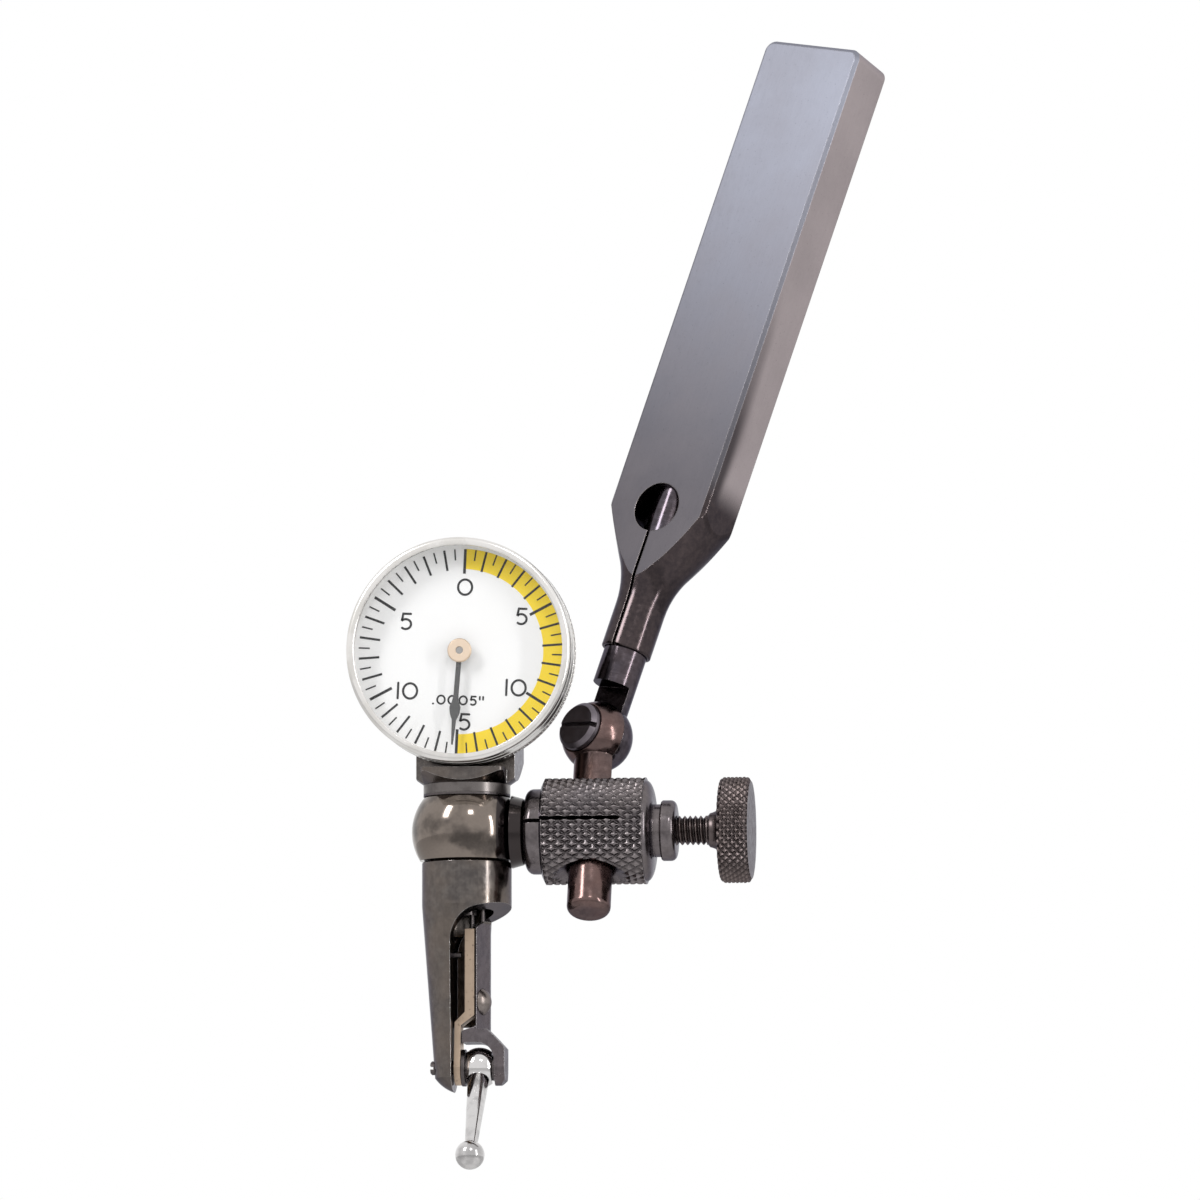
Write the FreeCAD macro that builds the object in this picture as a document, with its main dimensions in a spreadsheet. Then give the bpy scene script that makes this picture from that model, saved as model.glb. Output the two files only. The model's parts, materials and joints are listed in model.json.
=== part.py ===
import FreeCAD, Part
import os
import re

import Sketcher
from FreeCAD import Placement, Rotation, Vector

# Dial test indicator on a jointed shank, in millimetres.
# The origin is the centre of the contact ball. +Z runs up the indicator's body, the dial
# faces -Y, and the clamp with its thumb screw stands out towards +X.
# A size is written once below. Pieces that meet take their sizes from the same rows and
# from a named clearance, and every sketch and primitive is bound to the sheet.

SIZES = (
    # Clearances between pieces
    ("turning_gap", 0.04, "radial gap of a piece that turns in another"),
    ("seat_gap", 0.01, "gap between pieces that are screwed or pressed together"),
    ("face_gap", 0.05, "gap between faces that turn against each other"),
    # Shank bar, measured along its own axis from the centre of the ball hinge
    ("bar_width", 12.7, "shank bar, wide face"),
    ("bar_thickness", 6.35, "shank bar, narrow face"),
    ("bar_reach", 81.3, "far end of the bar"),
    ("bar_end_round", 1.2, "rounding of the bar's end corners"),
    ("bar_bevel", 0.4, "bevel round the bar's wide faces"),
    ("neck_start", 9.92, "open end of the turned neck"),
    ("neck_length", 5.08, "straight part of the turned neck"),
    ("neck_radius", 2.77, "turned neck, outside"),
    ("flare_radius", 10.5, "hollow between neck and taper"),
    ("flare_angle", 25.5, "slope of the taper up to the bar, degrees"),
    ("taper_belly", 90.0, "slight belly of that taper"),
    ("neck_round", 0.2, "rounding at the neck's open end"),
    ("bar_corner_round", 1.2, "rounding where the taper meets the bar's narrow faces"),
    ("grip_hole_along", 25.95, "cross hole at the slit's end"),
    ("grip_hole_radius", 2.8, "cross hole"),
    ("grip_slit", 0.38, "slit from the neck's end to the cross hole"),
    # Stem, ball hinge and cross rod
    ("stem_radius", 2.38, "stem held in the shank's neck"),
    ("stem_reach", 30.0, "upper end of the stem"),
    ("stem_bevel", 0.3, "bevel at the stem's end"),
    ("hinge_radius", 3.88, "ball of the hinge"),
    ("hinge_lap", 5.9, "reach of each half's flat from the hinge's centre"),
    ("hinge_flat", 2.6, "flat under the head of the hinge screw"),
    ("hinge_head_radius", 2.7, "hinge screw, head"),
    ("hinge_head_height", 0.95, "hinge screw, head"),
    ("hinge_head_bevel", 0.45, "hinge screw, bevel of the head"),
    ("hinge_pin_radius", 1.25, "hinge screw, shank"),
    ("hinge_pin_short", 0.3, "end of the hinge screw under the ball's surface"),
    ("hinge_pin_bevel", 0.2, "bevel of that end"),
    ("hinge_slot", 0.55, "hinge screw, slot width"),
    ("hinge_rise", 11.62, "hinge centre above the clamp's axis"),
    ("hinge_turn", 34.8, "turn of the hinge about the rod, degrees"),
    ("hinge_tilt", 20.9, "tilt of the stem at the hinge, degrees"),
    ("hinge_screw_turn", 16.0, "turn of the screw's slot on its axis, degrees"),
    ("shank_turn", -10.6, "turn of the bar on the stem, degrees"),
    ("rod_radius", 2.38, "cross rod"),
    ("rod_drop", 10.04, "lower end of the rod below the clamp's axis"),
    ("rod_round", 0.85, "rounding of the rod's lower end"),
    ("rod_stand_off", 0.42, "web between the stud's end and the rod"),
    # Clamp and thumb screw, along the clamp's axis
    ("clamp_turn", 23.5, "turn of the clamp on the stud, degrees"),
    ("collar_radius", 4.62, "plain collar next to the ball"),
    ("collar_length", 1.85, "plain collar"),
    ("collar_round", 0.9, "rounding of the collar's edge"),
    ("clamp_radius", 5.77, "knurled barrel over its points"),
    ("knurl_length", 10.37, "knurled part of the barrel"),
    ("knurl_bevel", 0.3, "bevel at each side of a knurl"),
    ("rim_length", 0.8, "plain rim after the knurl"),
    ("rim_bevel", 0.9, "bevel after the rim"),
    ("boss_radius", 3.28, "boss round the thumb screw"),
    ("boss_length", 2.4, "boss round the thumb screw"),
    ("boss_bevel", 0.45, "bevel at the boss's end"),
    ("clamp_slit", 0.4, "slit of the clamp"),
    ("clamp_slit_reach", 10.62, "slit, from the collar's open face"),
    ("clamp_slit_turn", 13.0, "turn of the slit from square to the rod, degrees"),
    ("mouth_radius", 4.3, "countersink of the rod's hole"),
    ("mouth_depth", 1.3, "countersink of the rod's hole"),
    ("thread_radius", 1.5875, "thumb screw, outside of the thread"),
    ("thread_show", 2.8, "thread seen between boss and thumb screw neck"),
    ("thumb_neck_length", 1.3, "cone between thread and head"),
    ("thumb_neck_radius", 2.7, "cone where it meets the head"),
    ("thumb_radius", 5.73, "thumb screw head over its points"),
    ("thumb_length", 4.0, "thumb screw head"),
    ("thumb_bevel", 0.4, "bevels of the thumb screw's head"),
    ("pad_length", 0.9, "pressure pad between screw and rod"),
    # Swivel ball with its stud
    ("ball_radius", 5.95, "swivel ball"),
    ("ball_low", 3.1, "ball's lower face under its centre"),
    ("ball_high", 3.8, "ball's upper face over its centre"),
    ("journal_radius", 3.4, "body's journal through the ball"),
    ("stud_radius", 3.0, "stud that the clamp grips"),
    ("stud_length", 4.4, "stud beyond its flange"),
    ("stud_bevel", 0.4, "bevel at the stud's end"),
    ("flange_length", 1.5, "flange at the stud's root"),
    ("flange_radius", 3.95, "flange, next to the ball"),
    ("flange_edge_radius", 3.6, "flange, next to the clamp"),
    # Body of the indicator, downwards from the ball's centre
    ("body_radius", 4.85, "body below the ball"),
    ("body_straight", 8.0, "end of the straight part"),
    ("body_tip", 28.4, "lower tip of the body"),
    ("tip_radius", 4.2, "rounding of the tip"),
    ("tip_turn", 35.5, "angle at which the taper meets the tip, degrees"),
    ("window_wall", 1.35, "flat of the window, left of the axis"),
    ("window_radius", 3.9, "arch of the window"),
    ("window_arch", 12.6, "centre of the arch, below the ball's centre"),
    ("window_slope", 15.0, "rise of the window's upper edge, degrees"),
    ("window_lean", 9.0, "lean of the cutter, degrees"),
    ("back_wall_inner", 3.2, "wall behind the lever, inside"),
    ("back_wall_span", 56.0, "wall behind the lever, span round the body's axis, degrees"),
    ("back_wall_foot", 4.6, "lower end of that wall above the pivot"),
    ("chamber_radius", 2.9, "bore that holds the lower bush"),
    ("chamber_top", 5.5, "step above the lower bush"),
    ("chamber_end", 12.5, "lower end of the bore"),
    ("shaft_way", 0.9, "bore round the spindle"),
    # Collar pieces above the ball
    ("washer_height", 0.25, "friction washer on the ball"),
    ("ring_radius", 4.7, "neck ring"),
    ("ring_height", 1.05, "neck ring"),
    ("journal_seat", 1.5, "journal inside the head"),
    # Head
    ("head_half_width", 5.35, "head, half its width"),
    ("head_front", 5.0, "front of the head's ledge"),
    ("ledge_half_width", 4.5, "ledge under the dial, half its width"),
    ("ledge_round", 0.7, "rounding of the ledge's upright edges"),
    ("head_back", 8.0, "back of the head"),
    ("head_top", 27.0, "top of the head over the ball's centre"),
    ("head_bevel", 1.5, "bevel at the top of the head's back"),
    ("head_edge", 0.8, "bevels of the head's upright edges"),
    ("head_cone", 55.0, "half angle of the turned underside, degrees"),
    ("cavity_half_width", 4.75, "space for the crown sector"),
    ("cavity_floor", 2.8, "floor of that space below the dial's axis"),
    ("cavity_roof", 2.4, "roof of that space above the dial's axis"),
    ("cavity_wall", 0.4, "wall between that space and the dial case"),
    ("cover_thickness", 0.8, "back cover"),
    ("cover_half_width", 4.6, "back cover"),
    ("cover_half_height", 5.0, "back cover"),
    ("cover_boss_radius", 1.9, "boss that holds the rear bush"),
    ("cover_screw_across", 3.6, "screws, from the cover's middle"),
    ("cover_screw_up", 4.0, "screws, from the dial's axis"),
    ("small_screw_radius", 0.5, "small screws"),
    ("small_head_radius", 0.9, "small screws, head"),
    ("small_head_height", 0.5, "small screws, head"),
    ("small_screw_length", 2.6, "small screws under the head"),
    ("small_slot", 0.25, "small screws, slot"),
    # Dial, seen along Y
    ("dial_rise", 19.1, "dial's axis over the ball's centre"),
    ("bezel_radius", 12.17, "bezel"),
    ("bezel_front", 8.5, "bezel's front face"),
    ("bezel_back", 2.6, "bezel's back face"),
    ("bezel_lip_radius", 11.3, "opening of the bezel"),
    ("bezel_lip", 0.4, "lip in front of the crystal"),
    ("bezel_bevel", 0.4, "bevel of the bezel's front"),
    ("bezel_bore", 11.62, "bezel, inside"),
    ("bezel_knurl_width", 1.7, "knurled band at the bezel's back"),
    ("bezel_groove", 0.35, "groove in front of the band"),
    ("crystal_thickness", 0.63, "crystal"),
    ("card_front", 5.75, "face of the dial card"),
    ("card_thickness", 0.2, "dial card"),
    ("card_hole", 1.0, "hole of the dial card"),
    ("case_front", 5.4, "front edge of the case"),
    ("case_back", 1.5, "back of the case"),
    ("case_floor", 1.0, "floor of the case"),
    ("case_wall", 0.8, "side wall of the case"),
    ("case_flange_radius", 12.0, "flange of the case behind the bezel"),
    ("spring_ring_width", 0.3, "wire ring that holds the bezel"),
    ("spring_ring_height", 0.5, "wire ring that holds the bezel"),
    ("spring_ring_front", 4.05, "front of the wire ring"),
    ("case_screw_across", 3.5, "case screws, from the middle"),
    ("case_screw_low", 8.6, "lower case screws, below the dial's axis"),
    ("case_screw_high", 5.6, "upper case screw, above the dial's axis"),
    # Pointer work
    ("arbor_radius", 0.4, "pointer arbor"),
    ("arbor_front", 7.1, "front end of the arbor"),
    ("arbor_back", 6.1, "back end of the arbor"),
    ("pointer_length", 10.2, "pointer, from the arbor to its point"),
    ("pointer_half_width", 0.27, "pointer's shaft"),
    ("leaf_half_width", 0.6, "leaf of the pointer"),
    ("leaf_middle", 6.1, "widest place of the leaf"),
    ("pointer_tip_half_width", 0.09, "pointer's tip"),
    ("pointer_disc", 1.15, "disc round the arbor"),
    ("pointer_front", 6.8, "face of the pointer"),
    ("pointer_thickness", 0.15, "pointer"),
    ("pointer_rest", 184.7, "rest direction, clockwise from the top, degrees"),
    ("hub_radius", 1.3, "pointer hub"),
    ("hub_height", 0.4, "pointer hub in front of the pointer"),
    ("hub_neck_radius", 0.65, "pointer hub behind its head"),
    ("hub_back", 6.1, "back end of the hub"),
    ("bush_radius", 1.2, "arbor bushes"),
    ("rear_bush_front", 5.2, "front of the rear bush"),
    ("spring_coil_start", 0.95, "hairspring, smallest radius"),
    ("spring_coil_pitch", 0.8, "hairspring, growth in a turn"),
    ("spring_thickness", 0.12, "hairspring, strip"),
    ("spring_height", 0.4, "hairspring, strip"),
    ("spring_front", 4.6, "front of the hairspring"),
    ("collet_radius", 0.85, "hairspring collet"),
    ("spring_post_radius", 0.35, "post at the hairspring's outer end"),
    # Crown sector and pinion
    ("crown_radius", 4.0, "middle of the crown teeth"),
    ("crown_width", 0.6, "crown teeth, along the radius"),
    ("crown_count", 88, "teeth that a full crown would have"),
    ("crown_teeth", 20, "teeth on the sector"),
    ("teeth_past_mesh", 2.5, "teeth beyond the meshing gap at rest"),
    ("pinion_count", 16, "teeth of the pinion"),
    ("tooth_tip_share", 0.55, "tip width over width at the pitch line"),
    ("backlash", 0.06, "play between crown and pinion"),
    ("crown_rim", 0.75, "height of the sector's rim"),
    ("crown_web", 0.3, "thickness of the sector's web"),
    ("crown_hub_radius", 0.95, "hub of the sector"),
    # Spindle, lever and contact
    ("spindle_radius", 0.6, "upright spindle"),
    ("spindle_top_gap", 0.45, "gap between spindle and arbor"),
    ("crank_radius", 0.7, "crank pin's distance from the spindle's axis"),
    ("crank_pin_radius", 0.25, "crank pin"),
    ("crank_disc_top", 8.4, "crank disc's upper face below the ball's centre"),
    ("crank_disc_height", 0.6, "crank disc"),
    ("crank_pin_past", 1.1, "crank pin below the lever's working height"),
    ("fork_gap", 0.05, "gap on each side of the crank pin"),
    ("upper_bush_radius", 1.5, "bush at the top of the spindle"),
    ("upper_bush_height", 2.2, "bush at the top of the spindle"),
    ("lower_bush_height", 1.5, "bush at the bottom of the spindle"),
    ("pivot_drop", 25.5, "lever's pivot below the ball's centre"),
    ("pivot_radius", 0.75, "pivot screw"),
    ("pivot_left", 3.9, "left end of the pivot screw"),
    ("pivot_slot", 0.35, "slot of the pivot screw"),
    ("lever_length", 14.7, "lever above its pivot, to the crank pin"),
    ("lever_above", 0.3, "lever's tip over the crank pin's working height"),
    ("lever_swing", 3.1, "whole swing of the lever, degrees"),
    ("lever_half_depth", 1.1, "lever, half its depth along Y"),
    ("lever_eye", 1.9, "eye of the lever"),
    ("lever_foot_thickness", 0.7, "lever beside the contact's head"),
    ("lever_thickness", 1.05, "lever above its bend"),
    ("lever_offset", 0.1, "left face of the upper lever, left of the axis"),
    ("bend_low", 4.9, "lower end of the lever's bend above the pivot"),
    ("bend_high", 6.0, "upper end of the lever's bend above the pivot"),
    ("contact_washer", 0.4, "friction washer between lever and contact"),
    ("washer_radius", 2.0, "friction washer between lever and contact"),
    ("head_width", 2.8, "contact's head along the pivot"),
    ("contact_head_radius", 2.2, "contact's head"),
    ("point_length", 13.3, "contact, from the pivot to the ball's centre"),
    ("point_set", 41.3, "contact's set towards the front, degrees"),
    ("point_ball_radius", 1.5875, "contact ball"),
    ("point_root_radius", 1.2, "contact's shaft at the head"),
    ("point_end_radius", 0.675, "contact's shaft at the ball"),
    # Reversing lever beside the lever, on the same pivot
    ("rocker_gap", 0.35, "gap between the contact's head and the rocker's ear"),
    ("rocker_ear", 1.15, "thickness of the rocker's ear"),
    ("rocker_half_depth", 1.95, "rocker, half its depth along Y"),
    ("rocker_plate_left", 1.2, "inner face of the rocker's plate"),
    ("rocker_plate", 1.2, "thickness of the rocker's plate"),
    ("rocker_height", 15.6, "rocker above the pivot"),
    ("rocker_bevel", 0.55, "bevel at the rocker's top"),
    ("rocker_facet", 0.1, "plate left at its front edge"),
    ("hood_inner", 2.65, "hood's underside above the pivot"),
    ("hood_outer", 4.1, "hood's outside above the pivot, at the plate"),
    ("hood_left", 0.3, "hood's left end, left of the axis"),
    ("hood_radius", 1.85, "bend of the hood's underside"),
    ("finger_up", 7.1, "finger stud above the pivot"),
    ("finger_radius", 1.45, "finger stud"),
    ("finger_height", 0.8, "finger stud"),
    ("finger_pin_radius", 0.55, "rivet shank of the finger stud"),
    ("wire_radius", 0.28, "spring wire above the rocker"),
    ("wire_across", 1.75, "spring wire, right of the axis"),
    ("wire_front", 0.5, "spring wire, in front of the axis"),
    ("peg_under_tip", 2.5, "stop peg below the lever's working height"),
    ("peg_radius", 0.3, "stop peg"),
    ("peg_length", 1.6, "stop peg"),
)

NAMES = {alias for alias, _, _ in SIZES}
DOC = FreeCAD.newDocument("dial_test_indicator")
SHEET = DOC.addObject("Spreadsheet::Sheet", "Sizes")
PIECES = []


def fill_sheet():
    """Write every size into the sheet, with its meaning beside it."""
    for row, (alias, size, meaning) in enumerate(SIZES, start=1):
        SHEET.set("A%d" % row, meaning)
        SHEET.set("B%d" % row, "%r" % size)
        SHEET.setAlias("B%d" % row, alias)
    DOC.recompute()


# Expressions that several pieces share

FLANGE_START = "(body_radius + 2 * face_gap)"
FLANGE_END = "(%s + flange_length)" % FLANGE_START
STUD_END = "(%s + stud_length)" % FLANGE_END
COLLAR_START = "(%s + face_gap)" % FLANGE_END
KNURL_START = "(%s + collar_length)" % COLLAR_START
KNURL_END = "(%s + knurl_length)" % KNURL_START
RIM_END = "(%s + rim_length)" % KNURL_END
BOSS_START = "(%s + rim_bevel)" % RIM_END
BOSS_END = "(%s + boss_length)" % BOSS_START
ROD_ACROSS = "(%s + rod_stand_off + rod_radius)" % STUD_END
THREAD_END = "(%s + thread_show)" % BOSS_END
THUMB_START = "(%s + thumb_neck_length)" % THREAD_END
THUMB_END = "(%s + thumb_length)" % THUMB_START
PAD_START = "(%s + rod_radius + face_gap)" % ROD_ACROSS
SCREW_TIP = "(%s + pad_length + face_gap)" % PAD_START
ROD_BORE = "(rod_radius + turning_gap)"
STEM_BORE = "(stem_radius + turning_gap)"
BALL_BORE = "(journal_radius + turning_gap)"
WASHER_START = "(ball_high + seat_gap)"
RING_START = "(%s + washer_height + seat_gap)" % WASHER_START
HEAD_START = "(%s + ring_height)" % RING_START
JOURNAL_TOP = "(%s + journal_seat)" % HEAD_START
SHOULDER = "(ball_low + face_gap)"
TIP_CENTRE = "(body_tip - tip_radius)"
TAPER_END_RADIUS = "(tip_radius * cos(tip_turn))"
TAPER_END = "(%s + tip_radius * sin(tip_turn))" % TIP_CENTRE
TAPER_SLOPE = "((body_radius - %s) / (%s - body_straight))" % (TAPER_END_RADIUS, TAPER_END)
BACK_WALL_END = "(pivot_drop - back_wall_foot)"
BACK_WALL_END_RADIUS = "(body_radius - (%s - body_straight) * %s)" % (BACK_WALL_END, TAPER_SLOPE)
CAVITY_FLOOR = "(dial_rise - cavity_floor)"
UPPER_BUSH_START = "(%s - upper_bush_height)" % CAVITY_FLOOR
CASE_INSIDE = "(case_back + case_floor)"
CASE_RADIUS = "(bezel_bore - 2 * turning_gap)"
PINION_RADIUS = "(crown_radius * pinion_count / crown_count)"
TOOTH_RISE = "(crown_radius * 2 / crown_count)"
MESH_HEIGHT = "(dial_rise - %s)" % PINION_RADIUS
TOOTH_ROOT = "(%s * 1.2)" % TOOTH_RISE
TOOTH_WIDTH = "(pi * crown_radius / crown_count - backlash / 2)"
CROWN_ROOT = "(%s - %s)" % (MESH_HEIGHT, TOOTH_ROOT)
SPINDLE_TOP = "(dial_rise - arbor_radius - spindle_top_gap)"
LEVER_RATIO = "(lever_length / crank_radius)"
SPINDLE_REST = "(lever_swing / 2 * %s)" % LEVER_RATIO
FORK_SHIFT = "(crank_radius * sin(%s))" % SPINDLE_REST
FORK_WIDTH = "(2 * (crank_pin_radius + fork_gap))"
PIVOT_BORE = "(pivot_radius + turning_gap)"
EYE_RIGHT = "(contact_washer + face_gap * 2)"
EAR_LEFT = "(head_width + rocker_gap)"
EAR_RIGHT = "(%s + rocker_ear)" % EAR_LEFT
PLATE_RIGHT = "(rocker_plate_left + rocker_plate)"
PEG_DROP = "(pivot_drop - lever_length + peg_under_tip)"


def value(text):
    """Number that an expression on the sizes has."""
    return float(SHEET.evalExpression(text))


def bound(text):
    """The same expression as an object outside the sheet writes it."""
    return re.sub(r"[a-z_]+", lambda word: "Sizes." + word[0] if word[0] in NAMES else word[0], text)


def origin_plane(body, role):
    """One of the three planes of a body's own origin."""
    return next(plane for plane in body.Origin.OriginFeatures if plane.Role == role)


def new_body(label):
    """An empty body whose label names the piece."""
    body = DOC.addObject("PartDesign::Body", label)
    body.Label = label
    return body


def new_sketch(body, plane, away="0", lean=None):
    """A sketch on an origin plane, moved away along its normal or leaned about an axis."""
    sketch = body.newObject("Sketcher::SketchObject", body.Label + "_outline")
    sketch.AttachmentSupport = (origin_plane(body, plane), "")
    sketch.MapMode = "FlatFace"
    if lean:
        axis, angle = lean
        sketch.AttachmentOffset = Placement(Vector(), Rotation(axis, value(angle)))
        sketch.setExpression("AttachmentOffset.Rotation.Angle", bound(angle))
    if away != "0":
        shares = {"z": "1"}
        if lean:
            shares = {
                "x": "%g * sin(%s)" % (axis.y, angle),
                "y": "%g * sin(%s)" % (-axis.x, angle),
                "z": "cos(%s)" % angle,
            }
        for letter, share in shares.items():
            sketch.setExpression("AttachmentOffset.Base." + letter, bound("%s * (%s)" % (away, share)))
    return sketch


def pin_point(sketch, item, end, across, up):
    """Hold one end of a line or arc at two distances from the origin, bound to the sheet."""
    for kind, text in (("DistanceX", across), ("DistanceY", up)):
        if text is not None:
            made = sketch.addConstraint(
                Sketcher.Constraint(kind, -1, 1, item, end, value(text))
            )
            sketch.setExpression("Constraints[%d]" % made, bound(text))


def arc_between(start, end, radius, side):
    """Arc of less than half a circle; side 1 bends left of the way from start to end."""
    chord = end - start
    middle = (start + end) * 0.5
    left = Vector(-chord.y, chord.x, 0).normalize()
    depth = max(radius ** 2 - chord.Length ** 2 / 4, 0) ** 0.5
    centre = middle + left * (side * depth)
    outward = (middle - centre).normalize() if depth > 1e-9 else left * -side
    return Part.Arc(start, centre + outward * radius, end)


def draw_outline(sketch, corners):
    """Close an outline through corners (across, up) or, after an arc, with radius and side."""
    points = [Vector(value(corner[0]), value(corner[1]), 0) for corner in corners]
    count = len(corners)
    ends = []
    for index in range(count):
        follow = (index + 1) % count
        if len(corners[follow]) == 2:
            item = sketch.addGeometry(Part.LineSegment(points[index], points[follow]), False)
            ends.append((item, 1, 2))
            continue
        radius, side = corners[follow][2:]
        arc = arc_between(points[index], points[follow], value(radius), side)
        item = sketch.addGeometry(arc, False)
        forward = side > 0
        ends.append((item, 1 if forward else 2, 2 if forward else 1))
        made = sketch.addConstraint(Sketcher.Constraint("Radius", item, value(radius)))
        sketch.setExpression("Constraints[%d]" % made, bound(radius))
    for index in range(count):
        before = ends[index - 1]
        after = ends[index]
        sketch.addConstraint(
            Sketcher.Constraint("Coincident", before[0], before[2], after[0], after[1])
        )
        across, up = corners[index][:2]
        straight = len(corners[index]) == 2 and index > 0
        if straight and across == corners[index - 1][0]:
            sketch.addConstraint(Sketcher.Constraint("Vertical", before[0]))
            across = None
        elif straight and up == corners[index - 1][1]:
            sketch.addConstraint(Sketcher.Constraint("Horizontal", before[0]))
            up = None
        pin_point(sketch, after[0], after[1], across, up)


def draw_circle(sketch, across, up, radius):
    """A circle whose centre and radius are bound to the sheet."""
    centre = Vector(value(across), value(up), 0)
    item = sketch.addGeometry(Part.Circle(centre, Vector(0, 0, 1), value(radius)), False)
    pin_point(sketch, item, 3, across, up)
    made = sketch.addConstraint(Sketcher.Constraint("Radius", item, value(radius)))
    sketch.setExpression("Constraints[%d]" % made, bound(radius))


def turn(body, plane, axis, corners, cut=False, axis_at=None, angle=None):
    """Turn an outline about an axis of its sketch: a solid, or a groove when cut is set."""
    sketch = new_sketch(body, plane)
    draw_outline(sketch, corners)
    if axis_at is not None:
        low = Vector(value(axis_at), -1, 0)
        line = sketch.addGeometry(Part.LineSegment(low, low + Vector(0, 2, 0)), True)
        pin_point(sketch, line, 1, axis_at, "-1")
        pin_point(sketch, line, 2, axis_at, "1")
        axis = "Axis0"
    feature = body.newObject("PartDesign::Groove" if cut else "PartDesign::Revolution", "turned")
    feature.Profile = sketch
    feature.ReferenceAxis = (sketch, [axis])
    feature.Angle = 360
    if angle:
        feature.Midplane = True
        feature.setExpression("Angle", bound(angle))
    sketch.Visibility = False
    return settle(body, feature, cut)


def settle(body, feature, cut):
    """Recompute a feature and see that it changed the solid the way that it should."""
    base = feature.BaseFeature
    before = base.Shape.Volume if base else 0
    DOC.recompute()
    after = feature.Shape.Volume
    if cut and not after < before - 1e-6:
        raise RuntimeError("%s: %s takes nothing away" % (body.Label, feature.Name))
    if not cut and not after > before + 1e-6:
        raise RuntimeError("%s: %s adds nothing" % (body.Label, feature.Name))
    return feature


def extrude(body, sketch, length=None, cut=False, one_side=False, reverse=False):
    """Pad or pocket a sketch, to both sides unless one_side is set; no length cuts through."""
    feature = body.newObject("PartDesign::Pocket" if cut else "PartDesign::Pad", "block")
    feature.Profile = sketch
    if not one_side:
        feature.SideType = "Symmetric"
    feature.Reversed = reverse
    if length is None:
        feature.Type = "ThroughAll"
    else:
        feature.setExpression("Length", bound(length))
    sketch.Visibility = False
    return settle(body, feature, cut)


def pad(body, plane, corners, length, **way):
    """Pad an outline."""
    sketch = new_sketch(body, plane, away=way.pop("away", "0"))
    draw_outline(sketch, corners)
    return extrude(body, sketch, length, **way)


def pocket(body, plane, corners, length=None, lean=None, **way):
    """Pocket an outline."""
    sketch = new_sketch(body, plane, away=way.pop("away", "0"), lean=lean)
    draw_outline(sketch, corners)
    return extrude(body, sketch, length, cut=True, **way)


def bore(body, plane, spots, radius, length=None, **way):
    """Bore round holes at spots (across, up)."""
    sketch = new_sketch(body, plane, away=way.pop("away", "0"))
    for across, up in spots:
        draw_circle(sketch, across, up, radius)
    return extrude(body, sketch, length, cut=True, **way)


def repeat(body, feature, axis, count, angle, full=False):
    """Repeat a feature round an axis of the body's origin."""
    pattern = body.newObject("PartDesign::PolarPattern", "row")
    pattern.Originals = [feature]
    pattern.Axis = (origin_plane(body, axis), [""])
    pattern.setExpression("Occurrences", bound(count))
    if full:
        pattern.Angle = 360
    else:
        pattern.setExpression("Angle", bound(angle))
    body.Tip = pattern
    return settle(body, pattern, False)


def dress_edges(body, kind, size, chosen):
    """Bevel or round the edges of the body's tip that a test picks."""
    base = body.Tip
    names = ["Edge%d" % n for n, edge in enumerate(base.Shape.Edges, start=1) if chosen(edge)]
    feature = body.newObject("PartDesign::" + kind, "edges")
    feature.Base = (base, names)
    feature.setExpression("Radius" if kind == "Fillet" else "Size", bound(size))
    return settle(body, feature, True)


def primitive(kind, label, sizes, place=None):
    """A Part primitive whose properties are bound to the sheet."""
    solid = DOC.addObject(kind, label)
    for name, text in sizes.items():
        solid.setExpression(name, bound(text))
    if place:
        solid.Placement = place
    return solid


def combine(kind, label, first, second):
    """A Part boolean of two objects."""
    made = DOC.addObject(kind, label)
    made.Base = first
    made.Tool = second
    return made


def keep(piece, frame):
    """Place a finished piece and list it for export."""
    piece.Placement = frame
    PIECES.append(piece)


def ring(label, plane, axis, inner, outer, start, end, frame):
    """A plain ring or bush turned about an axis, between two places along it."""
    body = new_body(label)
    if axis == "V_Axis":
        corners = ((inner, start), (outer, start), (outer, end), (inner, end))
    else:
        corners = ((start, inner), (start, outer), (end, outer), (end, inner))
    turn(body, plane, axis, corners)
    keep(body, frame)


# Where each group of pieces stands


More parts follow.
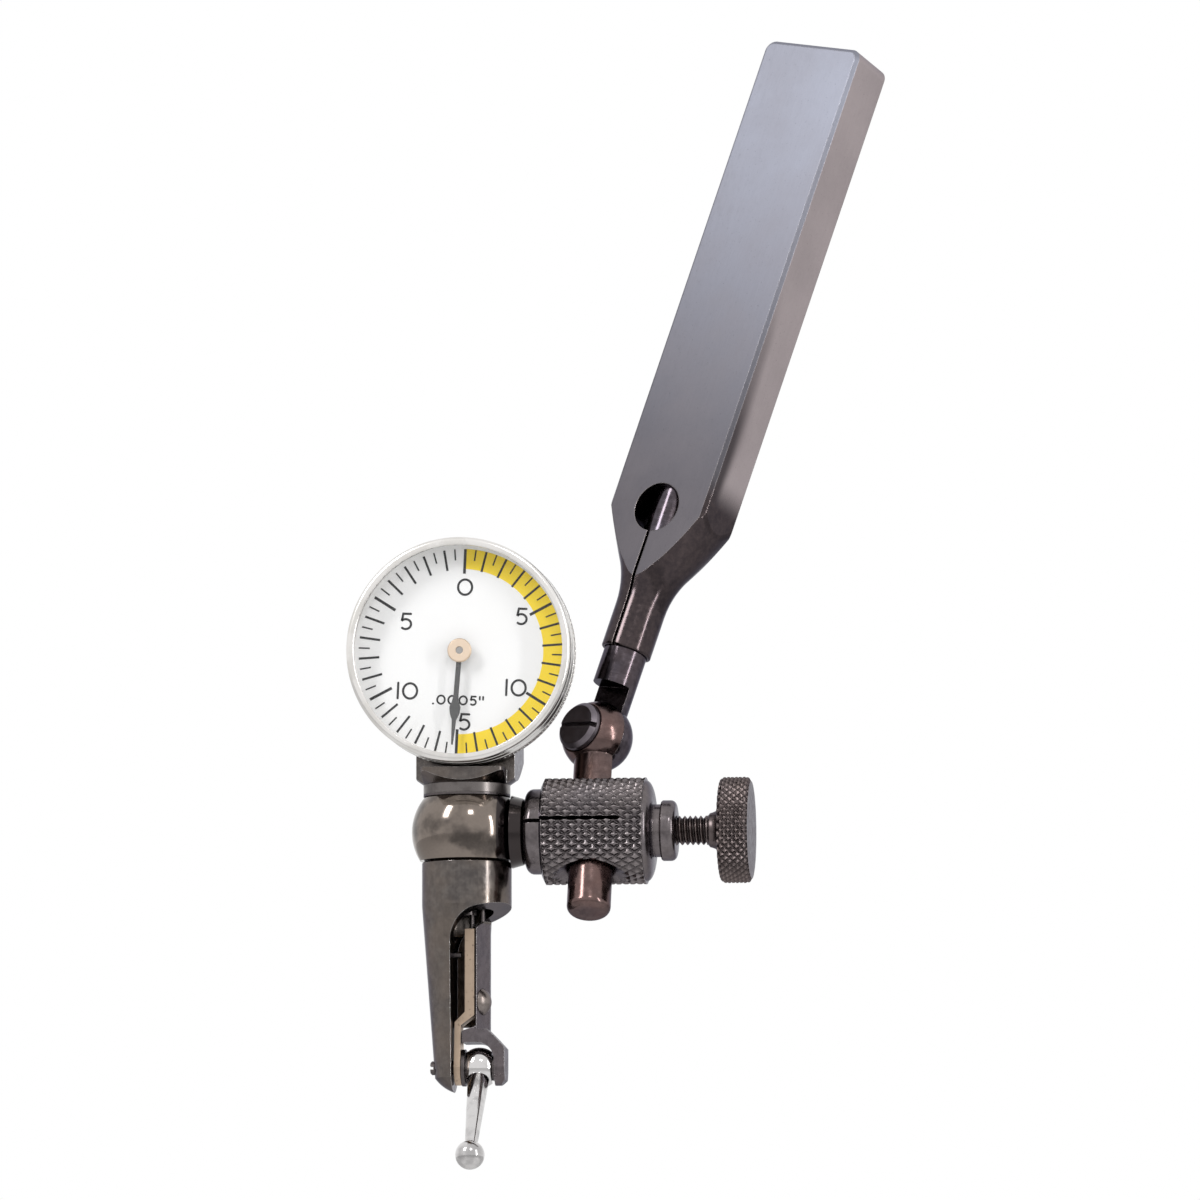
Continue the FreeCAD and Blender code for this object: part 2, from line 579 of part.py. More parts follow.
def frames():
    """Places of the groups, each worked out from the one that carries it."""
    reach = value("point_length * sin(point_set)")
    drop = value("pivot_drop + point_length * cos(point_set)")
    across = value("head_width / 2")
    at = {}
    at["gauge"] = Placement(Vector(-across, reach, drop), Rotation())
    at["dial"] = at["gauge"] * Placement(Vector(0, 0, value("dial_rise")), Rotation())
    at["pointer"] = at["dial"] * Placement(
        Vector(), Rotation(Vector(0, 1, 0), value("pointer_rest"))
    )
    at["spindle"] = at["gauge"] * Placement(
        Vector(), Rotation(Vector(0, 0, 1), -value(SPINDLE_REST))
    )
    mesh_turn = value("90 - ((crown_teeth - 1) / 2 - teeth_past_mesh) * 360 / crown_count")
    at["sector"] = at["gauge"] * Placement(Vector(), Rotation(Vector(0, 0, 1), mesh_turn))
    at["pivot"] = at["gauge"] * Placement(Vector(0, 0, -value("pivot_drop")), Rotation())
    at["contact"] = at["pivot"] * Placement(
        Vector(across, 0, 0), Rotation(Vector(1, 0, 0), -value("point_set"))
    )
    at["clamp"] = at["gauge"] * Placement(
        Vector(), Rotation(Vector(1, 0, 0), -value("clamp_turn"))
    )
    at["hinge"] = at["clamp"] * Placement(
        Vector(value(ROD_ACROSS), 0, value("hinge_rise")),
        Rotation(Vector(0, 0, 1), -value("hinge_turn")),
    )
    at["hinge_screw"] = at["hinge"] * Placement(
        Vector(),
        Rotation(Vector(0, 1, 0), value("hinge_screw_turn")),
    )
    at["stem"] = at["hinge"] * Placement(
        Vector(), Rotation(Vector(0, 1, 0), value("hinge_tilt"))
    )
    at["shank"] = at["stem"] * Placement(
        Vector(), Rotation(Vector(0, 0, 1), -value("shank_turn"))
    )
    return at


# Shank, hinge and rod


def shank_bar(frame):
    """Rectangular bar whose end is turned to a neck, bored, cross drilled and slit."""
    body = new_body("shank_bar")
    half = "bar_width / 2"
    pad(
        body,
        "XZ_Plane",
        (("-" + half, "neck_start"), (half, "neck_start"), (half, "bar_reach"), ("-" + half, "bar_reach")),
        "bar_thickness",
    )
    top = value("bar_reach") - 0.01

    def end_corner(edge):
        """True for the two short edges across the bar's far end, along its thickness."""
        box = edge.BoundBox
        return box.ZMin > top and box.XLength < 0.01

    dress_edges(body, "Fillet", "bar_end_round", end_corner)
    face = value("bar_thickness") / 2 - 0.01
    foot = value("neck_start") + 0.01

    def face_border(edge):
        """True for the border of the two wide faces, without the neck's end."""
        box = edge.BoundBox
        on_face = box.YMin > face or box.YMax < -face
        return on_face and box.ZMax > foot

    dress_edges(body, "Chamfer", "bar_bevel", face_border)
    straight_end = "(neck_start + neck_length)"
    reach = "(sqrt(bar_width ^ 2 + bar_thickness ^ 2) / 2 + 1)"
    taper_start = "(%s + flare_radius * sin(flare_angle))" % straight_end
    taper_radius = "(neck_radius + flare_radius * (1 - cos(flare_angle)))"
    taper_end = "(%s + (%s - %s) / tan(flare_angle))" % (taper_start, reach, taper_radius)
    turn(
        body,
        "XZ_Plane",
        "V_Axis",
        (
            ("neck_radius - neck_round", "neck_start - 1"),
            (reach, "neck_start - 1"),
            (reach, taper_end),
            (taper_radius, taper_start, "taper_belly", -1),
            ("neck_radius", straight_end, "flare_radius", 1),
            ("neck_radius", "neck_start + neck_round"),
            ("neck_radius - neck_round", "neck_start", "neck_round", -1),
        ),
        cut=True,
    )
    side = value("bar_width") / 2 - 0.01

    def taper_corner(edge):
        """True for the curved edges between the taper and the bar's narrow faces."""
        box = edge.BoundBox
        on_side = box.XMin > side or box.XMax < -side
        return on_side and not isinstance(edge.Curve, Part.Line)

    dress_edges(body, "Fillet", "bar_corner_round", taper_corner)
    end = "(stem_reach + stem_bevel)"
    turn(
        body,
        "XZ_Plane",
        "V_Axis",
        (("0", "neck_start - 1"), (STEM_BORE, "neck_start - 1"), (STEM_BORE, end), ("0", end)),
        cut=True,
    )
    bore(body, "XZ_Plane", (("0", "grip_hole_along"),), "grip_hole_radius")
    slit = "grip_slit / 2"
    pocket(
        body,
        "XZ_Plane",
        (
            ("-" + slit, "neck_start - 1"),
            (slit, "neck_start - 1"),
            (slit, "grip_hole_along"),
            ("-" + slit, "grip_hole_along"),
        ),
    )
    keep(body, frame)


def ball_half(body, side, flat):
    """Half of the hinge's ball, turned about the hinge screw's axis; flat cuts its cap."""
    near = side + "face_gap / 2"
    corners = [(near, "0"), (near, "sqrt(hinge_radius ^ 2 - face_gap ^ 2 / 4)")]
    bend = 1 if side else -1
    if flat:
        corners.append((side + flat, "sqrt(hinge_radius ^ 2 - %s ^ 2)" % flat, "hinge_radius", bend))
        corners.append((side + flat, "0"))
    else:
        corners.append((side + "hinge_radius", "0", "hinge_radius", bend))
    turn(body, "YZ_Plane", "H_Axis", corners)


def lap(body, side, start, end):
    """Cut away the round bar on one side, to just past the hinge's middle plane."""
    near = ("" if side else "-") + "face_gap / 2"
    far = side + "(hinge_radius + 1)"
    pocket(body, "YZ_Plane", ((near, start), (far, start), (far, end), (near, end)))


def swivel_stem(frame):
    """Stem in the shank's neck, ending in the rear half of the hinge's ball."""
    body = new_body("swivel_stem")
    turn(
        body,
        "XZ_Plane",
        "V_Axis",
        (
            ("0", "0"),
            ("stem_radius", "0"),
            ("stem_radius", "stem_reach - stem_bevel"),
            ("stem_radius - stem_bevel", "stem_reach"),
            ("0", "stem_reach"),
        ),
    )
    lap(body, "-", "-1", "hinge_lap")
    ball_half(body, "", None)
    bore(body, "XZ_Plane", (("0", "0"),), "hinge_pin_radius + seat_gap")
    keep(body, frame)


def hinge_screw(frame):
    """Slotted screw that draws the two halves of the ball together."""
    body = new_body("hinge_screw")
    front = "-(hinge_flat + face_gap + hinge_head_height)"
    seat = "-(hinge_flat + face_gap)"
    end = "(hinge_radius - hinge_pin_short)"
    turn(
        body,
        "YZ_Plane",
        "H_Axis",
        (
            (front, "0"),
            (front, "hinge_head_radius - hinge_head_bevel"),
            (front + " + hinge_head_bevel", "hinge_head_radius"),
            (seat, "hinge_head_radius"),
            (seat, "hinge_pin_radius"),
            (end + " - hinge_pin_bevel", "hinge_pin_radius"),
            (end, "hinge_pin_radius - hinge_pin_bevel"),
            (end, "0"),
        ),
    )
    slot = "hinge_slot / 2"
    pocket(
        body,
        "YZ_Plane",
        (
            (front + " - 1", "-" + slot),
            (front + " + hinge_slot", "-" + slot),
            (front + " + hinge_slot", slot),
            (front + " - 1", slot),
        ),
    )
    keep(body, frame)


def cross_rod(frame):
    """Rod through the clamp, ending in the front half of the hinge's ball."""
    body = new_body("cross_rod")
    low = "-(hinge_rise + rod_drop)"
    turn(
        body,
        "XZ_Plane",
        "V_Axis",
        (
            ("0", low),
            ("rod_radius - rod_round", low),
            ("rod_radius", low + " + rod_round", "rod_round", 1),
            ("rod_radius", "0"),
            ("0", "0"),
        ),
    )
    lap(body, "", "-hinge_lap", "1")
    ball_half(body, "-", "hinge_flat")
    bore(body, "XZ_Plane", (("0", "0"),), "hinge_pin_radius + turning_gap")
    keep(body, frame)


# Clamp


def clamp_barrel(frame):
    """Split barrel that grips the ball's stud and, crosswise, the rod."""
    body = new_body("clamp_barrel")
    stud_bore = "(stud_radius + turning_gap)"
    bore_end = "(%s + face_gap)" % STUD_END
    screw_bore = "(thread_radius + turning_gap)"
    turn(
        body,
        "XZ_Plane",
        "H_Axis",
        (
            (COLLAR_START, stud_bore),
            (COLLAR_START, "collar_radius - collar_round"),
            (COLLAR_START + " + collar_round", "collar_radius", "collar_round", -1),
            (KNURL_START, "collar_radius"),
            (KNURL_START, "clamp_radius - knurl_bevel"),
            (KNURL_START + " + knurl_bevel", "clamp_radius"),
            (RIM_END, "clamp_radius"),
            (BOSS_START, "clamp_radius - rim_bevel"),
            (BOSS_START, "boss_radius"),
            (BOSS_END + " - boss_bevel", "boss_radius"),
            (BOSS_END, "boss_radius - boss_bevel"),
            (BOSS_END, screw_bore),
            (ROD_ACROSS, screw_bore),
            (ROD_ACROSS, "0"),
            (bore_end, "0"),
            (bore_end, stud_bore),
        ),
    )
    slit = "clamp_slit / 2"
    slit_end = COLLAR_START + " + clamp_slit_reach"
    pocket(
        body,
        "XZ_Plane",
        (
            (COLLAR_START + " - 1", "-" + slit),
            (slit_end, "-" + slit),
            (slit_end, slit),
            (COLLAR_START + " - 1", slit),
        ),
        lean=(Vector(1, 0, 0), "clamp_slit_turn"),
    )
    bore(body, "XY_Plane", ((ROD_ACROSS, "0"),), ROD_BORE)
    for side in ("", "-"):
        outer = side + "(clamp_radius + 1)"
        turn(
            body,
            "XZ_Plane",
            "V_Axis",
            (
                (ROD_ACROSS, side + "(clamp_radius - mouth_depth)"),
                (ROD_ACROSS + " + rod_radius", side + "(clamp_radius - mouth_depth)"),
                (ROD_ACROSS + " + mouth_radius", side + "clamp_radius"),
                (ROD_ACROSS + " + mouth_radius", outer),
                (ROD_ACROSS, outer),
            ),
            cut=True,
            axis_at=ROD_ACROSS,
        )
    keep(body, frame)


def thumb_screw(frame):
    """Knurled screw that presses the pad against the rod."""
    body = new_body("thumb_screw")
    turn(
        body,
        "XZ_Plane",
        "H_Axis",
        (
            (SCREW_TIP, "0"),
            (SCREW_TIP, "thread_radius - 0.35"),
            (SCREW_TIP + " + 0.35", "thread_radius"),
            (THREAD_END, "thread_radius"),
            (THREAD_END + " + 0.4", "thread_radius + 0.75"),
            (THUMB_START, "thumb_neck_radius"),
            (THUMB_START, "thumb_radius - thumb_bevel"),
            (THUMB_START + " + thumb_bevel / 2", "thumb_radius"),
            (THUMB_END + " - thumb_bevel", "thumb_radius"),
            (THUMB_END, "thumb_radius - thumb_bevel"),
            (THUMB_END, "0"),
        ),
    )
    keep(body, frame)


# Ball and body


def swivel_ball(frame):
    """Ball ring that the body turns in, with the stud for the clamp."""
    body = new_body("swivel_ball")
    turn(
        body,
        "XZ_Plane",
        "V_Axis",
        (
            (BALL_BORE, "-ball_low"),
            ("sqrt(ball_radius ^ 2 - ball_low ^ 2)", "-ball_low"),
            ("sqrt(ball_radius ^ 2 - ball_high ^ 2)", "ball_high", "ball_radius", 1),
            (BALL_BORE, "ball_high"),
        ),
    )
    root = BALL_BORE + " + 0.3"
    turn(
        body,
        "XZ_Plane",
        "H_Axis",
        (
            (root, "0"),
            (root, "stud_radius - 0.1"),
            (FLANGE_START, "stud_radius - 0.1"),
            (FLANGE_START, "flange_radius"),
            (FLANGE_END + " - 0.25", "flange_edge_radius"),
            (FLANGE_END, "flange_edge_radius - 0.25"),
            (FLANGE_END, "stud_radius"),
            (STUD_END + " - stud_bevel", "stud_radius"),
            (STUD_END, "stud_radius - stud_bevel"),
            (STUD_END, "0"),
        ),
    )
    keep(body, frame)


def body_tube(frame):
    """Tapered body with its journal, its bore and the window beside the lever."""
    body = new_body("body_tube")
    turn(
        body,
        "XZ_Plane",
        "V_Axis",
        (
            ("0", "-body_tip"),
            (TAPER_END_RADIUS, "-" + TAPER_END, "tip_radius", 1),
            ("body_radius", "-body_straight"),
            ("body_radius", "-%s - 0.25" % SHOULDER),
            ("body_radius - 0.25", "-" + SHOULDER),
            ("journal_radius", "-" + SHOULDER),
            ("journal_radius", JOURNAL_TOP),
            ("0", JOURNAL_TOP),
        ),
    )
    turn(
        body,
        "XZ_Plane",
        "V_Axis",
        (
            ("0", "-chamber_end"),
            ("chamber_radius", "-chamber_end + chamber_radius / 2"),
            ("chamber_radius", "-chamber_top"),
            ("shaft_way", "-chamber_top"),
            ("shaft_way", JOURNAL_TOP + " + 1"),
            ("0", JOURNAL_TOP + " + 1"),
        ),
        cut=True,
    )
    centre = "(window_radius - window_wall)"
    touch_across = "(%s - window_radius * sin(window_slope))" % centre
    touch_up = "(-window_arch + window_radius * cos(window_slope))"
    edge = "(body_radius + 2)"
    pocket(
        body,
        "XZ_Plane",
        (
            ("-window_wall", "-(body_tip + 4)"),
            (edge, "-(body_tip + 4)"),
            (edge, "%s + (%s - %s) * tan(window_slope)" % (touch_up, edge, touch_across)),
            (touch_across, touch_up),
            ("-window_wall", "-window_arch", "window_radius", 1),
        ),
        lean=(Vector(1, 0, 0), "-window_lean"),
    )
    turn(
        body,
        "YZ_Plane",
        "V_Axis",
        (
            ("back_wall_inner", "-body_straight"),
            ("body_radius - face_gap", "-body_straight"),
            (BACK_WALL_END_RADIUS + " - face_gap", "-" + BACK_WALL_END),
            ("back_wall_inner", "-" + BACK_WALL_END),
        ),
        angle="back_wall_span",
    )
    bore(body, "YZ_Plane", (("0", "-pivot_drop"),), "pivot_radius + seat_gap")
    bore(
        body,
        "YZ_Plane",
        (("-wire_front", "-" + PEG_DROP),),
        "peg_radius + seat_gap",
        length="(window_wall + peg_length / 2) * 2",
    )
    keep(body, frame)


def head_housing(frame):
    """Block behind the dial, with a turned underside, the bores and the sector's space."""
    body = new_body("head_housing")
    ledge = "(dial_rise - bezel_radius - 4 * face_gap)"
    pad(
        body,
        "YZ_Plane",
        (
            ("-head_front", HEAD_START),
            ("head_back", HEAD_START),
            ("head_back", "head_top - head_bevel"),
            ("head_back - head_bevel", "head_top"),
            ("-case_back", "head_top"),
            ("-case_back", ledge),
            ("-head_front", ledge),
        ),
        "head_half_width * 2",
    )
    back = value("head_back") - 0.01
    side = value("head_half_width") - 0.01

    def back_edge(edge):
        """True for the upright edges at the head's back."""
        box = edge.BoundBox
        return box.YMin > back and abs(box.XMin) > side and box.XLength < 0.01

    dress_edges(body, "Chamfer", "head_edge", back_edge)
    ledge_sides = (
        ("-(head_half_width + 1)", "-ledge_half_width"),
        ("head_half_width + 1", "ledge_half_width"),
    )
    for outer, inner in ledge_sides:
        pocket(
            body,
            "XY_Plane",
            (
                (outer, "-case_back"),
                (inner, "-case_back"),
                (inner, "-(head_front + 1)"),
                (outer, "-(head_front + 1)"),
            ),
            ledge + " - " + HEAD_START + " + 2",
            away=HEAD_START + " - 1",
            one_side=True,
            reverse=True,
        )
    front = -value("head_front") + 0.01

    def ledge_edge(edge):
        """True for the upright edges at the ledge's front."""
        box = edge.BoundBox
        return box.YMax < front and box.XLength < 0.01

    dress_edges(body, "Fillet", "ledge_round", ledge_edge)
    far = "(head_half_width + head_back)"
    cone_end = "%s + (%s - ring_radius) / tan(head_cone)" % (HEAD_START, far)
    turn(
        body,
        "XZ_Plane",
        "V_Axis",
        (
            ("ring_radius", HEAD_START),
            ("ring_radius", HEAD_START + " - 1"),
            (far, HEAD_START + " - 1"),
            (far, cone_end),
        ),
        cut=True,
    )
    seat = "(journal_radius + seat_gap)"
    turn(
        body,
        "XZ_Plane",
        "V_Axis",
        (
            ("0", HEAD_START + " - 1"),
            (seat, HEAD_START + " - 1"),
            (seat, JOURNAL_TOP + " + seat_gap"),
            ("shaft_way", JOURNAL_TOP + " + seat_gap"),
            ("shaft_way", UPPER_BUSH_START + " - seat_gap"),
            ("upper_bush_radius + seat_gap", UPPER_BUSH_START + " - seat_gap"),
            ("upper_bush_radius + seat_gap", CAVITY_FLOOR + " + 0.5"),
            ("0", CAVITY_FLOOR + " + 0.5"),
        ),
        cut=True,
    )
    front = "-(case_back - cavity_wall)"
    roof = "(dial_rise + cavity_roof)"
    pocket(
        body,
        "YZ_Plane",
        ((front, CAVITY_FLOOR), ("head_back + 1", CAVITY_FLOOR), ("head_back + 1", roof), (front, roof)),
        "cavity_half_width * 2",
    )
    bore(body, "XZ_Plane", (("0", "dial_rise"),), "bush_radius + seat_gap")
    deep = "small_screw_length + 0.3"
    bore(
        body,
        "XZ_Plane",
        [(across, "dial_rise + (%s)" % up) for across, up in cover_spots()],
        "small_screw_radius + seat_gap",
        deep,
        away="-head_back",
        one_side=True,
        reverse=True,
    )
    bore(
        body,
        "XZ_Plane",
        [(across, "dial_rise + (%s)" % up) for across, up in case_spots()],
        "small_screw_radius + seat_gap",
        deep,
        away="case_back",
        one_side=True,
    )
    keep(body, frame)


def cover_spots():
    """Places of the cover's screws, from the dial's axis."""
    return [
        (side + "cover_screw_across", rise + "cover_screw_up")
        for side in ("-", "")
        for rise in ("-", "")
    ]


def case_spots():
    """Places of the case's screws, from the dial's axis."""
    return [
        ("-case_screw_across", "-case_screw_low"),
        ("case_screw_across", "-case_screw_low"),
        ("0", "case_screw_high"),
    ]


def back_cover(frame):
    """Plate on the back of the head, with the boss for the arbor's rear bush."""
    body = new_body("back_cover")
    start = "(head_back + seat_gap)"
    end = "(%s + cover_thickness)" % start
    width = "cover_half_width"
    height = "cover_half_height"
    pad(
        body,
        "YZ_Plane",
        ((start, "-" + height), (end, "-" + height), (end, height), (start, height)),
        width + " * 2",
    )
    rim = value(end) - 0.01

    def outer_edge(edge):
        """True for the border of the cover's outer face."""
        return edge.BoundBox.YMin > rim

    dress_edges(body, "Chamfer", "cover_thickness / 3", outer_edge)
    turn(
        body,
        "YZ_Plane",
        "H_Axis",
        (
            ("rear_bush_front", "0"),
            ("rear_bush_front", "cover_boss_radius"),
            (start + " + 0.1", "cover_boss_radius"),
            (start + " + 0.1", "0"),
        ),
    )
    turn(
        body,
        "YZ_Plane",
        "H_Axis",
        (
            ("rear_bush_front - 1", "0"),
            ("rear_bush_front - 1", "bush_radius + seat_gap"),
            ("arbor_back + 0.5", "bush_radius + seat_gap"),
            ("arbor_back + 0.5", "0"),
        ),
        cut=True,
    )
    bore(body, "XZ_Plane", cover_spots(), "small_screw_radius + turning_gap")
    keep(body, frame)


def slotted_screws(label, spots, seat, facing, frame):
    """A set of like screws; facing 1 has the heads towards the back, -1 towards the front."""
    made = []
    turn_back = Rotation(Vector(1, 0, 0), -90 * facing)
    for across, up in spots:
        spot = Placement(Vector(value(across), value(seat), value(up)), turn_back)
        under = spot * Placement(Vector(0, 0, -value("small_screw_length")), Rotation())
        shank = primitive(
            "Part::Cylinder",
            label + "_shank",
            {"Radius": "small_screw_radius", "Height": "small_screw_length"},
            under,
        )
        head = primitive(
            "Part::Cylinder",
            label + "_head",
            {"Radius": "small_head_radius", "Height": "small_head_height"},
            spot,
        )
        corner = Vector(
            -value("small_head_radius") - 1,
            -value("small_slot") / 2,
            value("small_head_height") / 2,
        )
        slot = primitive(
            "Part::Box",
            label + "_slot",
            {"Length": "small_head_radius * 2 + 2", "Width": "small_slot", "Height": "small_head_height"},
            spot * Placement(corner, Rotation()),
        )
        whole = combine("Part::Fuse", label + "_blank", shank, head)
        made.append(combine("Part::Cut", label + "_screw", whole, slot))
    group = DOC.addObject("Part::Compound", label)
    group.Label = label
    group.Links = made
    keep(group, frame)


# Dial


def dial_case(frame):
    """Cup behind the dial, screwed to the head, with a flange behind the bezel."""
    body = new_body("dial_case")
    inside = "-" + CASE_INSIDE
    groove_front = "-(spring_ring_front + seat_gap)"
    groove_back = "-(spring_ring_front - spring_ring_width - seat_gap)"
    groove_depth = "(%s - spring_ring_height / 2 - seat_gap)" % CASE_RADIUS
    turn(
        body,
        "YZ_Plane",
        "H_Axis",
        (
            ("-case_back", "0"),
            (inside, "0"),
            (inside, "(%s - case_wall)" % CASE_RADIUS),
            ("-case_front", "(%s - case_wall)" % CASE_RADIUS),
            ("-case_front", CASE_RADIUS),
            (groove_front, CASE_RADIUS),
            (groove_front, groove_depth),
            (groove_back, groove_depth),
            (groove_back, CASE_RADIUS),
            (inside + " - face_gap", CASE_RADIUS),
            (inside + " - face_gap", "case_flange_radius"),
            ("-case_back", "case_flange_radius"),
        ),
    )
    bore(body, "XZ_Plane", (("0", "0"),), "bush_radius + seat_gap")
    bore(body, "XZ_Plane", case_spots(), "small_screw_radius + turning_gap")
    keep(body, frame)


def bezel(frame):
    """Ring that carries crystal and dial card and turns on the case."""
    body = new_body("bezel")
    band = "-(bezel_back + bezel_knurl_width)"
    lip_back = "-(bezel_front - bezel_lip)"
    groove_front = "-(spring_ring_front + turning_gap)"
    groove_back = "-(spring_ring_front - spring_ring_width - turning_gap)"
    groove_depth = "(%s + spring_ring_height / 2 + turning_gap)" % CASE_RADIUS
    turn(
        body,
        "YZ_Plane",
        "H_Axis",
        (
            ("-bezel_front", "bezel_lip_radius"),
            ("-bezel_front", "bezel_radius - bezel_bevel"),
            ("-(bezel_front - bezel_bevel)", "bezel_radius"),
            (band + " - bezel_groove", "bezel_radius"),
            (band + " - bezel_groove / 2", "bezel_radius - bezel_groove / 2"),
            (band, "bezel_radius"),
            ("-(bezel_back + knurl_bevel / 2)", "bezel_radius"),
            ("-bezel_back", "bezel_radius - knurl_bevel / 2"),
            ("-bezel_back", "bezel_bore"),
            (groove_back, "bezel_bore"),
            (groove_back, groove_depth),
            (groove_front, groove_depth),
            (groove_front, "bezel_bore"),
            (lip_back, "bezel_bore"),
            (lip_back, "bezel_lip_radius"),
        ),
    )
    keep(body, frame)


def bezel_spring(frame):
    """Split wire ring that keeps the bezel on the case."""
    body = new_body("bezel_spring")
    front = "-spring_ring_front"
    back = "-(spring_ring_front - spring_ring_width)"
    inner = "(%s - spring_ring_height / 2)" % CASE_RADIUS
    outer = "(%s + spring_ring_height / 2)" % CASE_RADIUS
    turn(body, "YZ_Plane", "H_Axis", ((front, inner), (front, outer), (back, outer), (back, inner)))
    half = "spring_ring_height * 2"
    pocket(
        body,
        "XZ_Plane",
        (
            ("-" + half, "-(bezel_radius + 1)"),
            (half, "-(bezel_radius + 1)"),
            (half, "-bezel_radius / 2"),
            ("-" + half, "-bezel_radius / 2"),
        ),
    )
    keep(body, frame)


def pointer(frame):
    """Leaf shaped pointer, drawn pointing up and turned to its rest direction."""
    body = new_body("pointer")
    leaf_start = "(leaf_middle - 1.3)"
    leaf_end = "(leaf_middle + 1.4)"
    pad(
        body,
        "XZ_Plane",
        (
            ("-pointer_half_width", "0"),
            ("pointer_half_width", "0"),
            ("pointer_half_width", leaf_start),
            ("leaf_half_width", "leaf_middle", "3", -1),
            ("pointer_half_width * 0.9", leaf_end, "3", 1),
            ("pointer_tip_half_width", "pointer_length"),
            ("-pointer_tip_half_width", "pointer_length"),
            ("-pointer_half_width * 0.9", leaf_end),
            ("-leaf_half_width", "leaf_middle", "3", 1),
            ("-pointer_half_width", leaf_start, "3", -1),
        ),
        "pointer_thickness",
        away="pointer_front",
        one_side=True,
        reverse=True,
    )
    back = "-(pointer_front - pointer_thickness)"
    turn(
        body,
        "YZ_Plane",
        "H_Axis",
        (
            ("-pointer_front", "hub_neck_radius - 0.2"),
            ("-pointer_front", "pointer_disc"),
            (back, "pointer_disc"),
            (back, "hub_neck_radius - 0.2"),
        ),
    )
    bore(body, "XZ_Plane", (("0", "0"),), "hub_neck_radius + seat_gap")
    keep(body, frame)


def pointer_hub(frame):
    """Turned hub that carries the pointer on the arbor."""
    body = new_body("pointer_hub")
    seat = "-(pointer_front + seat_gap)"
    front = "(%s - hub_height)" % seat
    hole = "(arbor_radius + seat_gap)"
    turn(
        body,
        "YZ_Plane",
        "H_Axis",
        (
            (front, hole),
            (front, "hub_radius - 0.12"),
            (front + " + 0.12", "hub_radius"),
            (seat, "hub_radius"),
            (seat, "hub_neck_radius"),
            ("-hub_back", "hub_neck_radius"),
            ("-hub_back", hole),
        ),
    )
    keep(body, frame)


def pointer_arbor(frame):
    """Arbor with the pinion that the crown sector drives."""
    body = new_body("pointer_arbor")
    start = "(crown_radius - crown_width / 2)"
    end = "(crown_radius + crown_width / 2)"
    root = "(%s - %s)" % (PINION_RADIUS, TOOTH_ROOT)
    turn(
        body,
        "YZ_Plane",
        "H_Axis",
        (
            ("-arbor_front", "0"),
            ("-arbor_front", "arbor_radius"),
            (start, "arbor_radius"),
            (start, root),
            (end, root),
            (end, "arbor_radius"),
            ("arbor_back", "arbor_radius"),
            ("arbor_back", "0"),
        ),
    )
    tip = "(%s + %s)" % (PINION_RADIUS, TOOTH_RISE)
    foot = "(%s - 0.03)" % root
    half_tip = TOOTH_WIDTH + " * tooth_tip_share / 2"
    half_foot = TOOTH_WIDTH + " * (2 - tooth_tip_share) / 2"
    tooth = pad(
        body,
        "XZ_Plane",
        (
            ("-%s" % half_foot, "-" + foot),
            ("-%s" % half_tip, "-" + tip),
            (half_tip, "-" + tip),
            (half_foot, "-" + foot),
        ),
        "crown_width",
        away="-" + start,
        one_side=True,
        reverse=True,
    )
    repeat(body, tooth, "Y_Axis", "pinion_count", None, full=True)
    keep(body, frame)


def crown_sector(frame):
    """Toothed sector on the spindle, its crown teeth facing up to the pinion."""
    body = new_body("crown_sector")
    inner = "(crown_radius - crown_width / 2)"
    outer = "(crown_radius + crown_width / 2)"
    rim_low = "(%s - crown_rim)" % CROWN_ROOT
    web_top = "(%s + crown_web)" % rim_low
    hole = "(spindle_radius + seat_gap)"
    turn(
        body,
        "XZ_Plane",
        "V_Axis",
        ((hole, rim_low), ("crown_hub_radius", rim_low), ("crown_hub_radius", CROWN_ROOT), (hole, CROWN_ROOT)),
    )
    turn(
        body,
        "XZ_Plane",
        "V_Axis",
        (
            ("crown_hub_radius - 0.1", rim_low),
            (outer, rim_low),
            (outer, CROWN_ROOT),
            (inner, CROWN_ROOT),
            (inner, web_top),
            ("crown_hub_radius - 0.1", web_top),
        ),
        angle="(crown_teeth + 0.2) * 360 / crown_count",
    )
    half_tip = TOOTH_WIDTH + " * tooth_tip_share / 2"
    half_foot = TOOTH_WIDTH + " * (2 - tooth_tip_share) / 2"
    foot = "(%s - 0.03)" % CROWN_ROOT
    tip = "(%s + %s)" % (MESH_HEIGHT, TOOTH_RISE)
    first = "-(crown_teeth - 1) / 2 * 360 / crown_count"
    sketch = new_sketch(body, "YZ_Plane", away=inner, lean=(Vector(0, 1, 0), first))
    draw_outline(
        sketch,
        (("-" + half_foot, foot), (half_foot, foot), (half_tip, tip), ("-" + half_tip, tip)),
    )
    tooth = extrude(body, sketch, "crown_width", one_side=True)
    repeat(body, tooth, "Z_Axis", "crown_teeth", "(crown_teeth - 1) * 360 / crown_count")
    keep(body, frame)


